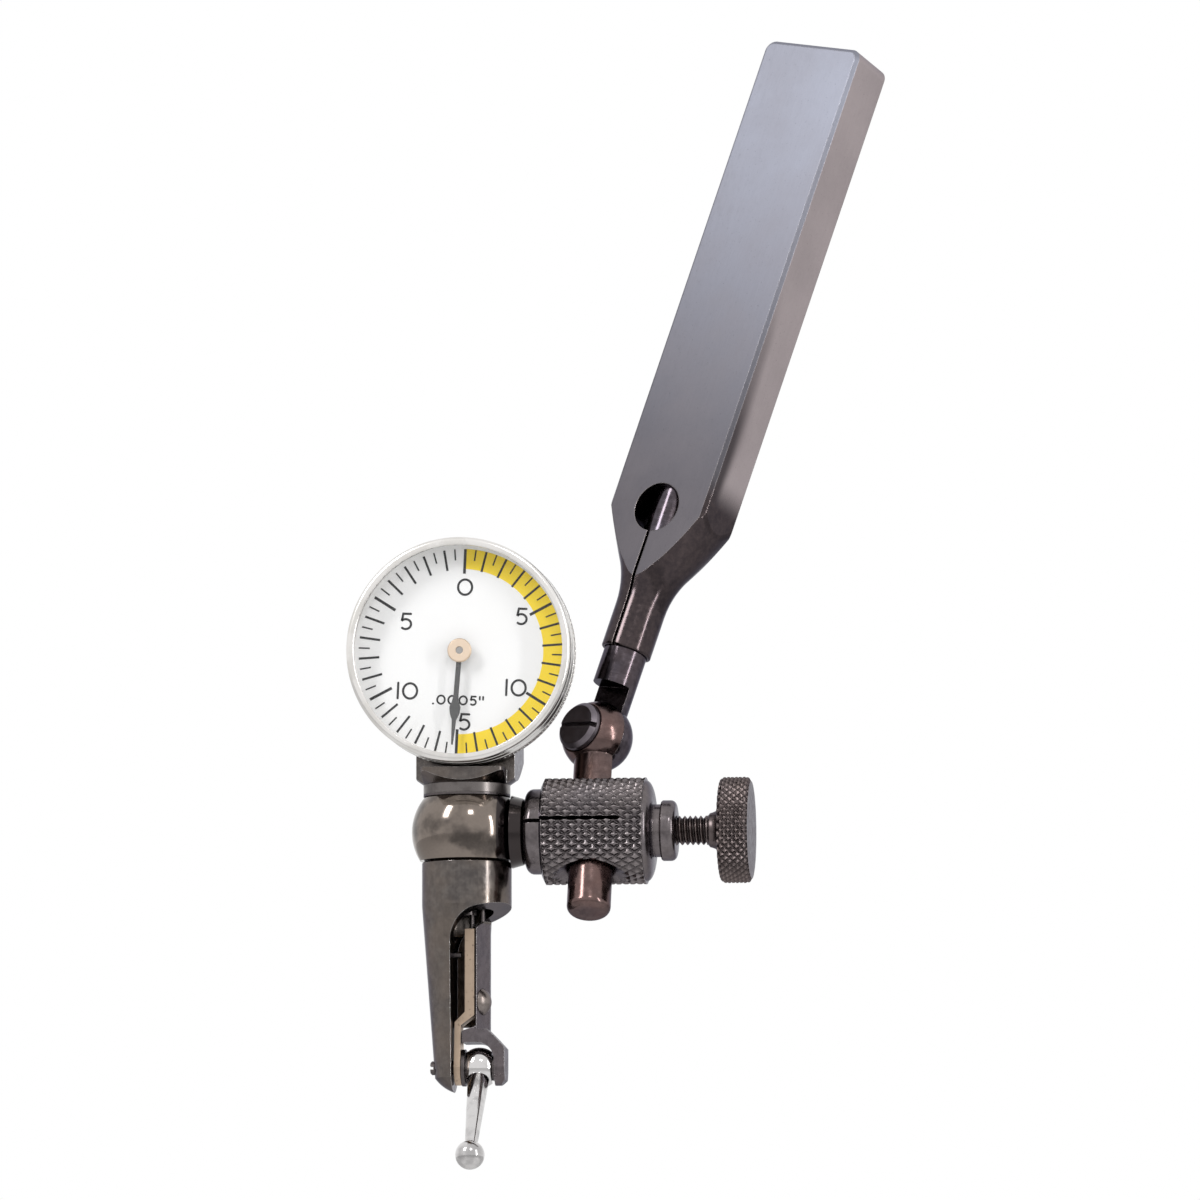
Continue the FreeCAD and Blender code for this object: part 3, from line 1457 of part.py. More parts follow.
def hairspring(frame):
    """Flat coil of half circles, each a half pitch wider than the last."""
    strip = value("spring_thickness")
    pitch = value("spring_coil_pitch")
    edges = []
    for side in (-1, 1):
        radius = value("spring_coil_start") + strip / 2 + side * strip / 2
        centre = 0
        end = Vector(radius, 0, 0)
        line = []
        for half_turn in range(8):
            up = 1 if half_turn % 2 == 0 else -1
            start = Vector(centre + up * radius, 0, 0)
            end = Vector(centre - up * radius, 0, 0)
            line.append(Part.Arc(start, Vector(centre, 0, up * radius), end).toShape())
            centre = centre + up * pitch / 4
            radius = radius + pitch / 4
        edges.append(line)
    inner, outer = edges
    caps = [
        Part.makeLine(inner[0].firstVertex().Point, outer[0].firstVertex().Point),
        Part.makeLine(inner[-1].lastVertex().Point, outer[-1].lastVertex().Point),
    ]
    wire = Part.Wire(Part.__sortEdges__(inner + outer + caps))
    coil = Part.Face(wire).extrude(Vector(0, value("spring_height"), 0))
    feature = DOC.addObject("Part::Feature", "hairspring")
    feature.Label = "hairspring"
    feature.Shape = coil
    keep(feature, frame * Placement(Vector(0, -value("spring_front"), 0), Rotation()))


# Spindle, lever and contact


def spindle(frame):
    """Upright spindle whose crank pin stands in the lever's fork."""
    body = new_body("spindle")
    disc_low = "-(crank_disc_top + crank_disc_height)"
    disc_radius = "(crank_radius + crank_pin_radius + 0.1)"
    turn(
        body,
        "XZ_Plane",
        "V_Axis",
        (
            ("0", disc_low),
            (disc_radius, disc_low),
            (disc_radius, "-crank_disc_top"),
            ("spindle_radius", "-crank_disc_top"),
            ("spindle_radius", SPINDLE_TOP),
            ("0", SPINDLE_TOP),
        ),
    )
    pin_low = "-(pivot_drop - lever_length + crank_pin_past)"
    turn(
        body,
        "XZ_Plane",
        "V_Axis",
        (
            ("crank_radius", pin_low),
            ("crank_radius + crank_pin_radius", pin_low),
            ("crank_radius + crank_pin_radius", disc_low + " + 0.1"),
            ("crank_radius", disc_low + " + 0.1"),
        ),
        axis_at="crank_radius",
    )
    keep(body, frame)


def round_end(body, radius):
    """Round the lower end of a flat piece about the pivot."""
    reach = "(%s + 1)" % radius
    for side, bend in (("", -1), ("-", 1)):
        pocket(
            body,
            "YZ_Plane",
            (
                (side + radius, "0"),
                ("0", "-" + radius, radius, bend),
                ("0", "-" + reach),
                (side + reach, "-" + reach),
                (side + reach, "0"),
            ),
        )


def lever_arm(frame):
    """Cranked brass lever between the contact and the crank pin."""
    body = new_body("lever_arm")
    right = "-" + EYE_RIGHT
    left = "-(%s + lever_foot_thickness)" % EYE_RIGHT
    upper_left = "-lever_offset"
    upper_right = "(lever_thickness - lever_offset)"
    top = "(lever_length + lever_above)"
    pad(
        body,
        "XZ_Plane",
        (
            (left, "-lever_eye"),
            (right, "-lever_eye"),
            (right, "bend_low - 0.35"),
            (upper_right, "bend_high - 0.35"),
            (upper_right, top),
            (upper_left, top),
            (upper_left, "bend_high"),
            (left, "bend_low"),
        ),
        "lever_eye * 2",
    )
    reach = "(lever_eye + 1)"
    for side in ("", "-"):
        pocket(
            body,
            "YZ_Plane",
            (
                (side + "lever_eye", "0"),
                (side + reach, "0"),
                (side + reach, top + " + 1"),
                (side + "lever_half_depth", top + " + 1"),
                (side + "lever_half_depth", "bend_low"),
            ),
        )
    round_end(body, "lever_eye")
    low = "(lever_length - crank_pin_past - 0.3)"
    near = "-(%s - %s / 2)" % (FORK_SHIFT, FORK_WIDTH)
    far = "-(%s + %s / 2)" % (FORK_SHIFT, FORK_WIDTH)
    pocket(body, "YZ_Plane", ((far, low), (near, low), (near, top + " + 1"), (far, top + " + 1")))
    bore(body, "YZ_Plane", (("0", "0"),), PIVOT_BORE)
    keep(body, frame)


def contact_point(frame):
    """Contact: a flattened ball head on the pivot, a tapered shaft and the measuring ball."""
    body = new_body("contact_point")
    turn(
        body,
        "XZ_Plane",
        "V_Axis",
        (
            ("0", "-(point_length + point_ball_radius)"),
            (
                "point_end_radius",
                "-point_length + sqrt(point_ball_radius ^ 2 - point_end_radius ^ 2)",
                "point_ball_radius",
                1,
            ),
            ("point_root_radius", "-point_root_radius"),
            ("0", "-point_root_radius"),
        ),
    )
    half = "head_width / 2"
    flat = "sqrt(contact_head_radius ^ 2 - (%s) ^ 2)" % half
    turn(
        body,
        "XZ_Plane",
        "H_Axis",
        (
            ("-" + half, "0"),
            ("-" + half, flat),
            (half, flat, "contact_head_radius", -1),
            (half, "0"),
        ),
    )
    bore(body, "YZ_Plane", (("0", "0"),), PIVOT_BORE)
    keep(body, frame)


def pivot_screw(frame):
    """Screw through body, lever, contact and rocker, slotted at its left end."""
    body = new_body("pivot_screw")
    turn(
        body,
        "XZ_Plane",
        "H_Axis",
        (
            ("-pivot_left", "0"),
            ("-pivot_left", "pivot_radius - 0.15"),
            ("-pivot_left + 0.15", "pivot_radius"),
            (EAR_RIGHT, "pivot_radius"),
            (EAR_RIGHT, "0"),
        ),
    )
    slot = "pivot_slot / 2"
    pocket(
        body,
        "XZ_Plane",
        (
            ("-pivot_left - 1", "-" + slot),
            ("-pivot_left + pivot_slot", "-" + slot),
            ("-pivot_left + pivot_slot", slot),
            ("-pivot_left - 1", slot),
        ),
    )
    keep(body, frame)


def reversing_lever(frame):
    """Rocker on the pivot: ear, hood over the contact's head and plate beside the lever."""
    body = new_body("reversing_lever")
    bend_up = "(hood_inner - hood_radius)"
    bend_across = "(%s - hood_radius)" % EAR_LEFT
    pad(
        body,
        "XZ_Plane",
        (
            (EAR_LEFT, "-rocker_half_depth"),
            (EAR_RIGHT + " - 0.5", "-rocker_half_depth"),
            (EAR_RIGHT, "-rocker_half_depth + 0.6"),
            (EAR_RIGHT, "hood_outer - 2"),
            (EAR_RIGHT + " - 0.9", "hood_outer - 1"),
            (PLATE_RIGHT, "hood_outer"),
            (PLATE_RIGHT, "rocker_height"),
            ("rocker_plate_left + rocker_bevel", "rocker_height"),
            ("rocker_plate_left", "rocker_height - rocker_bevel"),
            ("rocker_plate_left", "hood_outer + 0.3"),
            ("-hood_left", "hood_outer - 0.2"),
            ("-hood_left", "hood_inner"),
            (bend_across, "hood_inner"),
            (EAR_LEFT, bend_up, "hood_radius", -1),
        ),
        "rocker_half_depth * 2",
    )
    depth = "rocker_half_depth"
    pocket(
        body,
        "XY_Plane",
        (
            ("rocker_plate_left + rocker_facet", "-" + depth),
            (PLATE_RIGHT, depth + " / 2"),
            (PLATE_RIGHT + " + 1", depth + " / 2"),
            (PLATE_RIGHT + " + 1", "-(%s + 1)" % depth),
            ("rocker_plate_left + rocker_facet", "-(%s + 1)" % depth),
        ),
        "rocker_height - hood_outer + 1",
        away="hood_outer",
        one_side=True,
        reverse=True,
    )
    round_end(body, "rocker_half_depth")
    bore(body, "YZ_Plane", (("0", "0"),), PIVOT_BORE)
    keep(body, frame)


def finger_place():
    """Middle of the rocker's slanted face, and the turn of its normal, in degrees."""
    run = value("rocker_plate - rocker_facet")
    depth = value("rocker_half_depth * 1.5")
    middle = Vector(
        value(PLATE_RIGHT) - run / 2, value("rocker_half_depth") / 2 - depth / 2, value("finger_up")
    )
    normal = Vector(depth, -run, 0)
    return Placement(middle, Rotation(Vector(1, 0, 0), normal))


def finger_stud(frame):
    """Domed stud riveted to the rocker, for the finger."""
    body = new_body("finger_stud")
    height = "finger_height"
    cap = "((finger_radius ^ 2 + finger_height ^ 2) / (2 * finger_height))"
    turn(
        body,
        "XZ_Plane",
        "H_Axis",
        (
            ("seat_gap", "0"),
            ("seat_gap", "finger_radius"),
            (height + " + seat_gap", "0", cap, -1),
        ),
    )
    keep(body, frame * finger_place())


FIXED_RINGS = (
    # label, plane, axis, inner radius, outer radius, start, end, frame
    ("swivel_washer", "XZ_Plane", "V_Axis", BALL_BORE, "ring_radius", WASHER_START,
     WASHER_START + " + washer_height", "gauge"),
    ("neck_ring", "XZ_Plane", "V_Axis", "journal_radius + seat_gap", "ring_radius", RING_START,
     HEAD_START + " - seat_gap", "gauge"),
    ("upper_bush", "XZ_Plane", "V_Axis", "spindle_radius + turning_gap", "upper_bush_radius",
     UPPER_BUSH_START, CAVITY_FLOOR, "gauge"),
    ("front_bush", "YZ_Plane", "H_Axis", "arbor_radius + turning_gap", "bush_radius",
     "-(case_back + case_floor + 0.3)", "-(case_back - cavity_wall)", "dial"),
    ("rear_bush", "YZ_Plane", "H_Axis", "arbor_radius + turning_gap", "bush_radius",
     "rear_bush_front", "arbor_back + 0.1", "dial"),
    ("crystal", "YZ_Plane", "H_Axis", "0", "bezel_bore - seat_gap",
     "-(bezel_front - bezel_lip - seat_gap)",
     "-(bezel_front - bezel_lip - seat_gap - crystal_thickness)", "dial"),
    ("dial_card", "YZ_Plane", "H_Axis", "card_hole", "bezel_bore - seat_gap", "-card_front",
     "-(card_front - card_thickness)", "dial"),
    ("hairspring_collet", "YZ_Plane", "H_Axis", "arbor_radius + seat_gap", "collet_radius",
     "-(spring_front + 0.15)", "-(spring_front - spring_height - 0.15)", "dial"),
    ("contact_washer_ring", "XZ_Plane", "H_Axis", PIVOT_BORE, "washer_radius",
     "-(contact_washer + face_gap)", "-face_gap", "pivot"),
    ("ear_washer", "XZ_Plane", "H_Axis", PIVOT_BORE, "lever_half_depth + 0.3",
     "head_width + face_gap", EAR_LEFT + " - face_gap", "pivot"),
    ("pressure_pad", "XZ_Plane", "H_Axis", "0", "thread_radius - 0.1", PAD_START,
     PAD_START + " + pad_length", "clamp"),
)


def lower_bush(frame):
    """Bush in the body's bore, drilled beside the spindle for the rocker's spring wire."""
    body = new_body("lower_bush")
    low = "-(chamber_top + lower_bush_height)"
    high = "-(chamber_top + seat_gap)"
    inner = "(spindle_radius + turning_gap)"
    outer = "(chamber_radius - seat_gap)"
    turn(body, "XZ_Plane", "V_Axis", ((inner, low), (outer, low), (outer, high), (inner, high)))
    bore(body, "XY_Plane", (("wire_across", "-wire_front"),), "wire_radius + seat_gap")
    keep(body, frame)


def round_bar(label, radius, length, frame):
    """A plain wire, peg or post as a cylinder from the frame's origin along its Z."""
    solid = primitive("Part::Cylinder", label, {"Radius": radius, "Height": length})
    solid.Label = label
    keep(solid, frame)


def build():
    """Make every piece in its place."""
    at = frames()
    shank_bar(at["shank"])
    swivel_stem(at["stem"])
    hinge_screw(at["hinge_screw"])
    cross_rod(at["hinge"])
    clamp_barrel(at["clamp"])
    thumb_screw(at["clamp"])
    swivel_ball(at["gauge"])
    body_tube(at["gauge"])
    head_housing(at["gauge"])
    back_cover(at["dial"])
    cover_seat = "head_back + 2 * seat_gap + cover_thickness"
    slotted_screws("cover_screws", cover_spots(), cover_seat, 1, at["dial"])
    dial_case(at["dial"])
    case_seat = "-(%s + seat_gap)" % CASE_INSIDE
    slotted_screws("case_screws", case_spots(), case_seat, -1, at["dial"])
    bezel(at["dial"])
    bezel_spring(at["dial"])
    pointer(at["pointer"])
    pointer_hub(at["dial"])
    pointer_arbor(at["dial"])
    crown_sector(at["sector"])
    hairspring(at["dial"])
    spindle(at["spindle"])
    lower_bush(at["gauge"])
    lever_arm(at["pivot"])
    contact_point(at["contact"])
    pivot_screw(at["pivot"])
    reversing_lever(at["pivot"])
    finger_stud(at["pivot"])
    for label, plane, axis, inner, outer, start, end, frame in FIXED_RINGS:
        ring(label, plane, axis, inner, outer, start, end, at[frame])
    wire_low = -value("pivot_drop - rocker_height - 3 * face_gap")
    wire = Vector(value("wire_across"), -value("wire_front"), wire_low)
    wire_length = "pivot_drop - rocker_height - 3 * face_gap - chamber_top - 2 * seat_gap"
    round_bar("reversing_wire", "wire_radius", wire_length, at["gauge"] * Placement(wire, Rotation()))
    sideways = Rotation(Vector(0, 1, 0), 90)
    peg = Vector(-value("window_wall + peg_length / 2"), -value("wire_front"), -value(PEG_DROP))
    round_bar("stop_peg", "peg_radius", "peg_length", at["gauge"] * Placement(peg, sideways))
    post_out = value("spring_coil_start + spring_thickness + spring_coil_pitch * 2 + spring_post_radius")
    post = Vector(post_out + 0.1, -value(CASE_INSIDE), 0)
    away = Rotation(Vector(1, 0, 0), 90)
    round_bar(
        "hairspring_post",
        "spring_post_radius",
        "spring_front - %s + 0.1" % CASE_INSIDE,
        at["dial"] * Placement(post, away),
    )


def check_and_export():
    """Refuse anything that failed, then write one file for each piece."""
    DOC.recompute()
    for thing in DOC.Objects:
        if "Invalid" in thing.State or "Error" in thing.State:
            raise RuntimeError("%s did not compute: %s" % (thing.Name, thing.State))
    for piece in PIECES:
        if piece.Shape.isNull() or not piece.Shape.isValid():
            raise RuntimeError("%s has no valid shape" % piece.Label)
    os.makedirs("parts", exist_ok=True)
    for piece in PIECES:
        piece.Shape.exportStep("parts/%s.step" % piece.Label)
    print("%d pieces" % len(PIECES))


fill_sheet()
build()
check_and_export()
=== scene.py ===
import json
import logging
import math
from dataclasses import dataclass, field
from enum import Enum
from typing import Any, Optional, Sequence, Union

import bmesh
import bpy
import numpy as np
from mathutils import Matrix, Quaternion, Vector


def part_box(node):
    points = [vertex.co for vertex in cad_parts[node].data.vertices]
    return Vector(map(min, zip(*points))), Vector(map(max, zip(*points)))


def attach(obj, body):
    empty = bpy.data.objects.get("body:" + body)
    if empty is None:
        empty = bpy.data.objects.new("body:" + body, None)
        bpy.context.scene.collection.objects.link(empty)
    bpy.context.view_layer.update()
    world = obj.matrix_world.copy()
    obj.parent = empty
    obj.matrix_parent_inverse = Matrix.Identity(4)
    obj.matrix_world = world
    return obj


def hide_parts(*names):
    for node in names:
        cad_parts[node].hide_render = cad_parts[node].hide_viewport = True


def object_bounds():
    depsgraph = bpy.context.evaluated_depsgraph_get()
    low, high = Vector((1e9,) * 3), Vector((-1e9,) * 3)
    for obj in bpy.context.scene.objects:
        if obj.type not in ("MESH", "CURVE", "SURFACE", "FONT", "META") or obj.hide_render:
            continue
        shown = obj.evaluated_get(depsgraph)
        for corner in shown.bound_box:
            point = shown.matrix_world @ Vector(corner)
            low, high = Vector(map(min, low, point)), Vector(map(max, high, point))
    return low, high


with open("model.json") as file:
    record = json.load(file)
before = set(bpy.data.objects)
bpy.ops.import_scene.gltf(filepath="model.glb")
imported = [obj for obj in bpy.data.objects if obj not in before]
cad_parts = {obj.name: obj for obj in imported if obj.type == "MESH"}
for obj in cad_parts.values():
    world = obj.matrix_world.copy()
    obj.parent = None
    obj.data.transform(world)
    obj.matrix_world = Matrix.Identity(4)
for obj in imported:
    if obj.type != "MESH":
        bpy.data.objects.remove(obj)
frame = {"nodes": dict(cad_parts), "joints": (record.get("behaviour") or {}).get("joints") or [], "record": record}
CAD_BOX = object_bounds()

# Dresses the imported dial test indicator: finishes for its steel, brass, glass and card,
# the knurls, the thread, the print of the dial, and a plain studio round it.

LOG = logging.getLogger("indicator")
MM = 0.001
WELD = 0.0004 * MM
SHARP = math.radians(28.0)
PLAIN_CREST = 0.5  # neither worn like a crest nor dark like a groove

Colour = tuple[float, float, float]
Place = tuple[float, float, float]


# What the frame says


def joint(name: str) -> dict[str, Any]:
    """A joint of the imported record.

    Args:
        name: the joint's name.

    Returns:
        Its entry in the record.
    """
    return next(entry for entry in frame["joints"] if entry["name"] == name)


def centre_of(name: str) -> Vector:
    """The point that a hinge turns about, in metres."""
    return Vector(joint(name)["pos_m"])


def axis_of(name: str) -> Vector:
    """The unit direction of a joint's axis."""
    return Vector(joint(name)["axis"]).normalized()


def mount_place(name: str) -> Vector:
    """The place of one of the record's mounts, in metres."""
    return Vector(next(m for m in frame["record"]["mounts"] if m["name"] == name)["pos_m"])


ACROSS = Vector((1, 0, 0))
UP = Vector((0, 0, 1))
FORWARD = Vector((0, -1, 0))
RIGHT_ANGLE = math.pi / 2


# Shader maths


class Shade:
    """A number that changes over a surface; arithmetic on it adds Math nodes."""

    def __init__(self, web: "Web", socket: bpy.types.NodeSocket) -> None:
        """Wrap a socket of a web."""
        self.web = web
        self.socket = socket

    def _maths(self, operation: str, *terms: "Term") -> "Shade":
        """Add a Math node.

        Args:
            operation: the node's operation.
            terms: its inputs, in order.

        Returns:
            The node's result.
        """
        sockets = dict(enumerate(terms))
        return self.web.shade("ShaderNodeMath", {"operation": operation}, sockets, 0)

    def __add__(self, other: "Term") -> "Shade":
        """This plus other."""
        return self._maths("ADD", self, other)

    def __radd__(self, other: "Term") -> "Shade":
        """Other plus this."""
        return self._maths("ADD", other, self)

    def __sub__(self, other: "Term") -> "Shade":
        """This less other."""
        return self._maths("SUBTRACT", self, other)

    def __rsub__(self, other: "Term") -> "Shade":
        """Other less this."""
        return self._maths("SUBTRACT", other, self)

    def __mul__(self, other: "Term") -> "Shade":
        """This times other."""
        return self._maths("MULTIPLY", self, other)

    def __rmul__(self, other: "Term") -> "Shade":
        """Other times this."""
        return self._maths("MULTIPLY", other, self)

    def __pow__(self, other: "Term") -> "Shade":
        """This to the power of other."""
        return self._maths("POWER", self, other)

    def __rpow__(self, other: "Term") -> "Shade":
        """Other to the power of this."""
        return self._maths("POWER", other, self)

    def __abs__(self) -> "Shade":
        """This without its sign."""
        return self._maths("ABSOLUTE", self)

    def step(self, low: float, high: float) -> "Shade":
        """Ease from 0 at low to 1 at high; low may be the larger.

        Args:
            low: where the result is 0.
            high: where the result is 1.

        Returns:
            The eased value, held between 0 and 1.
        """
        settings = {"interpolation_type": "SMOOTHSTEP"}
        ends = {0: self, 1: min(low, high), 2: max(low, high)}
        rising = self.web.shade("ShaderNodeMapRange", settings, ends, 0)
        return rising if low < high else 1 - rising


Term = Union[Shade, float]
Paint = Union[Colour, bpy.types.NodeSocket]


class Web:
    """The node tree of one material or of the world."""

    def __init__(self, tree: bpy.types.NodeTree) -> None:
        """Empty the tree and keep it."""
        self.tree = tree
        tree.nodes.clear()

    def node(
        self, kind: str, settings: dict[str, Any], sockets: dict[Union[int, str], Any]
    ) -> bpy.types.Node:
        """Add a node.

        Args:
            kind: the node's type.
            settings: attributes, which are set first.
            sockets: values or links of its inputs, by number or name.

        Returns:
            The node.
        """
        made = self.tree.nodes.new(kind)
        for name, value in settings.items():
            setattr(made, name, value)
        for name, value in sockets.items():
            if isinstance(value, Shade):
                value = value.socket
            if isinstance(value, bpy.types.NodeSocket):
                self.tree.links.new(value, made.inputs[name])
            else:
                made.inputs[name].default_value = value
        return made

    def shade(
        self,
        kind: str,
        settings: dict[str, Any],
        sockets: dict[Union[int, str], Any],
        output: Union[int, str],
    ) -> Shade:
        """Add a node and wrap one of its outputs.

        Args:
            kind: the node's type.
            settings: attributes, as for node.
            sockets: values or links of its inputs, as for node.
            output: the output, by number or name.

        Returns:
            The wrapped output.
        """
        return Shade(self, self.node(kind, settings, sockets).outputs[output])

    def place(self) -> bpy.types.NodeSocket:
        """Point of the surface in the part's own frame, in metres."""
        return self.node("ShaderNodeTexCoord", {}, {}).outputs["Object"]

    def facing(self, direction: Vector) -> Shade:
        """Cosine between the surface's own normal and a direction of the part."""
        normal = self.node("ShaderNodeTexCoord", {}, {}).outputs["Normal"]
        return self.dot(normal, direction)

    def dot(self, first: bpy.types.NodeSocket, second: Any) -> Shade:
        """Dot product of a vector that varies and another one.

        Args:
            first: the vector that varies.
            second: a direction, or a vector that varies too.

        Returns:
            The product.
        """
        if isinstance(second, Vector):
            second = tuple(second)
        sockets = {0: first, 1: second}
        return self.shade("ShaderNodeVectorMath", {"operation": "DOT_PRODUCT"}, sockets, "Value")

    def vector(self, operation: str, first: Any, second: Any) -> bpy.types.NodeSocket:
        """Result of a Vector Math node.

        Args:
            operation: the node's operation.
            first: vector or socket.
            second: vector or socket, or the factor of a scaling.

        Returns:
            The resulting vector.
        """
        settings = {"operation": operation}
        name = "Scale" if operation == "SCALE" else 1
        return self.node("ShaderNodeVectorMath", settings, {0: first, name: second}).outputs[0]

    def drawn_out(self, axis: Vector, fine: float, coarse: float) -> bpy.types.NodeSocket:
        """Coordinates for a grain that runs along an axis.

        Args:
            axis: the grain's direction.
            fine: scale across the grain, per metre.
            coarse: scale along the grain, per metre.

        Returns:
            The coordinates.
        """
        place = self.place()
        along = self.dot(place, axis) * (coarse - fine)
        across = self.vector("SCALE", place, fine)
        shift = self.vector("SCALE", tuple(axis), along)
        return self.vector("ADD", across, shift)

    def rings(self, axis: Vector, centre: Vector, fine: float) -> bpy.types.NodeSocket:
        """Coordinates for the fine rings that a lathe leaves round an axis.

        Args:
            axis: the lathe's axis.
            centre: a point on it.
            fine: scale of the rings, per metre.

        Returns:
            The coordinates.
        """
        offset = self.vector("SUBTRACT", self.place(), tuple(centre))
        along = self.dot(offset, axis)
        radius = (self.dot(offset, offset) - along * along) ** 0.5
        sockets = {0: along * fine, 1: radius * fine, 2: 0.0}
        return self.node("ShaderNodeCombineXYZ", {}, sockets).outputs[0]

    def noise(self, place: Any, scale: float, detail: float = 3.0, rough: float = 0.55) -> Shade:
        """Noise from 0 to 1.

        Args:
            place: coordinates.
            scale: cells per unit of them.
            detail: octaves.
            rough: weight of the fine octaves.

        Returns:
            The noise.
        """
        sockets = {"Vector": place, "Scale": scale, "Detail": detail, "Roughness": rough}
        return self.shade("ShaderNodeTexNoise", {}, sockets, 0)

    def mix(self, share: Term, first: Paint, second: Paint) -> bpy.types.NodeSocket:
        """Blend of two colours.

        Args:
            share: how much of the second shows.
            first: colour or socket.
            second: colour or socket.

        Returns:
            The blended colour.
        """
        colours = [(*c, 1) if isinstance(c, tuple) else c for c in (first, second)]
        settings = {"data_type": "RGBA", "clamp_factor": True}
        sockets = {0: share, 6: colours[0], 7: colours[1]}
        return self.node("ShaderNodeMix", settings, sockets).outputs[2]

    def rounded(self, radius: float) -> bpy.types.NodeSocket:
        """Normal with every edge rounded to a radius in metres."""
        return self.node("ShaderNodeBevel", {"samples": 6}, {"Radius": radius}).outputs[0]

    def edges(self, rounded: bpy.types.NodeSocket) -> Shade:
        """Share of rounding at a point: 0 on a face, near 1 on a sharp edge."""
        normal = self.node("ShaderNodeNewGeometry", {}, {}).outputs["Normal"]
        return ((1 - self.dot(rounded, normal)) * 6).step(0.05, 1.0)

    def bump(self, height: Term, depth: float, normal: Any) -> bpy.types.NodeSocket:
        """Normal of a surface with a height on it.

        Args:
            height: the height, from 0 to 1.
            depth: metres that a height of 1 stands for.
            normal: the normal without it.

        Returns:
            The new normal.
        """
        sockets = {"Strength": 1.0, "Distance": depth, "Height": height, "Normal": normal}
        return self.node("ShaderNodeBump", {}, sockets).outputs[0]


def new_material(name: str) -> tuple[bpy.types.Material, Web]:
    """An empty material.

    Args:
        name: its name.

    Returns:
        The material and its web.
    """
    material = bpy.data.materials.new(name)
    material.use_nodes = True
    return material, Web(material.node_tree)


def surface(web: Web, sockets: dict[str, Any]) -> None:
    """End a web in a Principled shader with these sockets."""
    shader = web.node("ShaderNodeBsdfPrincipled", {}, sockets)
    web.node("ShaderNodeOutputMaterial", {}, {0: shader.outputs[0]})


# Finishes

# Patterns that the finishes share, in cells per metre
CLOUD_CELLS = 170.0
MOTTLE_CELLS = 1300.0
MARK_CELLS = 9000.0


class Grain(Enum):
    """How the tool marks of a metal run."""

    CLOUDED = "no direction"
    DRAWN = "along an axis"
    TURNED = "round an axis"


@dataclass(frozen=True)
class BluedSteel:
    """Oxide blued steel: mottled, with tool marks, and paler where edges have worn."""

    name: str
    deep: Colour
    pale: Colour
    tint: Colour
    tint_share: float = 0.4
    worn: Colour = (0.30, 0.27, 0.25)
    wear: float = 0.35
    roughness: float = 0.32
    spread: float = 0.14
    grain: Grain = Grain.CLOUDED
    axis: Vector = field(default_factory=lambda: UP.copy())
    centre: Vector = field(default_factory=lambda: centre_of("body_swivel"))
    mark: float = 0.0012 * MM
    mark_run: float = 260.0
    edge: float = 0.10 * MM
    # crests: wear on the knurl and thread crests, and painted shade in their grooves
    crests: bool = False

    def marks(self, web: Web) -> Shade:
        """Height of the tool marks.

        Args:
            web: the material's web.

        Returns:
            The height, from 0 to 1.
        """
        if self.grain is Grain.DRAWN:
            return web.noise(web.drawn_out(self.axis, MARK_CELLS, self.mark_run), 1.0, 3.0)
        if self.grain is Grain.TURNED:
            return web.noise(web.rings(self.axis, self.centre, MARK_CELLS), 1.0, 2.0)
        return web.noise(web.place(), MARK_CELLS, 2.0)

    def make(self) -> bpy.types.Material:
        """Build the material.

        Returns:
            The material.
        """
        material, web = new_material(self.name)
        place = web.place()
        cloud = web.noise(place, CLOUD_CELLS, 4.0).step(0.35, 0.68)
        mottle = web.noise(place, MOTTLE_CELLS, 4.0, 0.65).step(0.3, 0.75)
        marks = self.marks(web)
        rounded = web.rounded(self.edge)
        edge = web.edges(rounded)
        tone = web.mix(mottle * 0.55 + marks * 0.45, self.deep, self.pale)
        tone = web.mix(cloud * self.tint_share, tone, self.tint)
        worn = edge * self.wear * (0.35 + mottle)
        if self.crests:
            crest = web.shade("ShaderNodeAttribute", {"attribute_name": "crest"}, {}, "Fac")
            worn = worn + crest.step(0.45, 1.0) * (0.25 + mottle * 0.75) * self.wear
            # painted shade: the knurl and thread grooves are darkened towards a deeper copy of the dark colour
            tone = web.mix(crest.step(0.5, 0.0) * 0.7, tone, tuple(c * 0.35 for c in self.deep))
        surface(web, {
            "Base Color": web.mix(worn, tone, self.worn),
            "Metallic": 1.0,
            "Roughness": self.roughness + (mottle + marks - 1.0) * self.spread,
            "Specular Tint": (0.55, 0.55, 0.6, 1),
            "Normal": web.bump(marks, self.mark, rounded),
        })
        return material


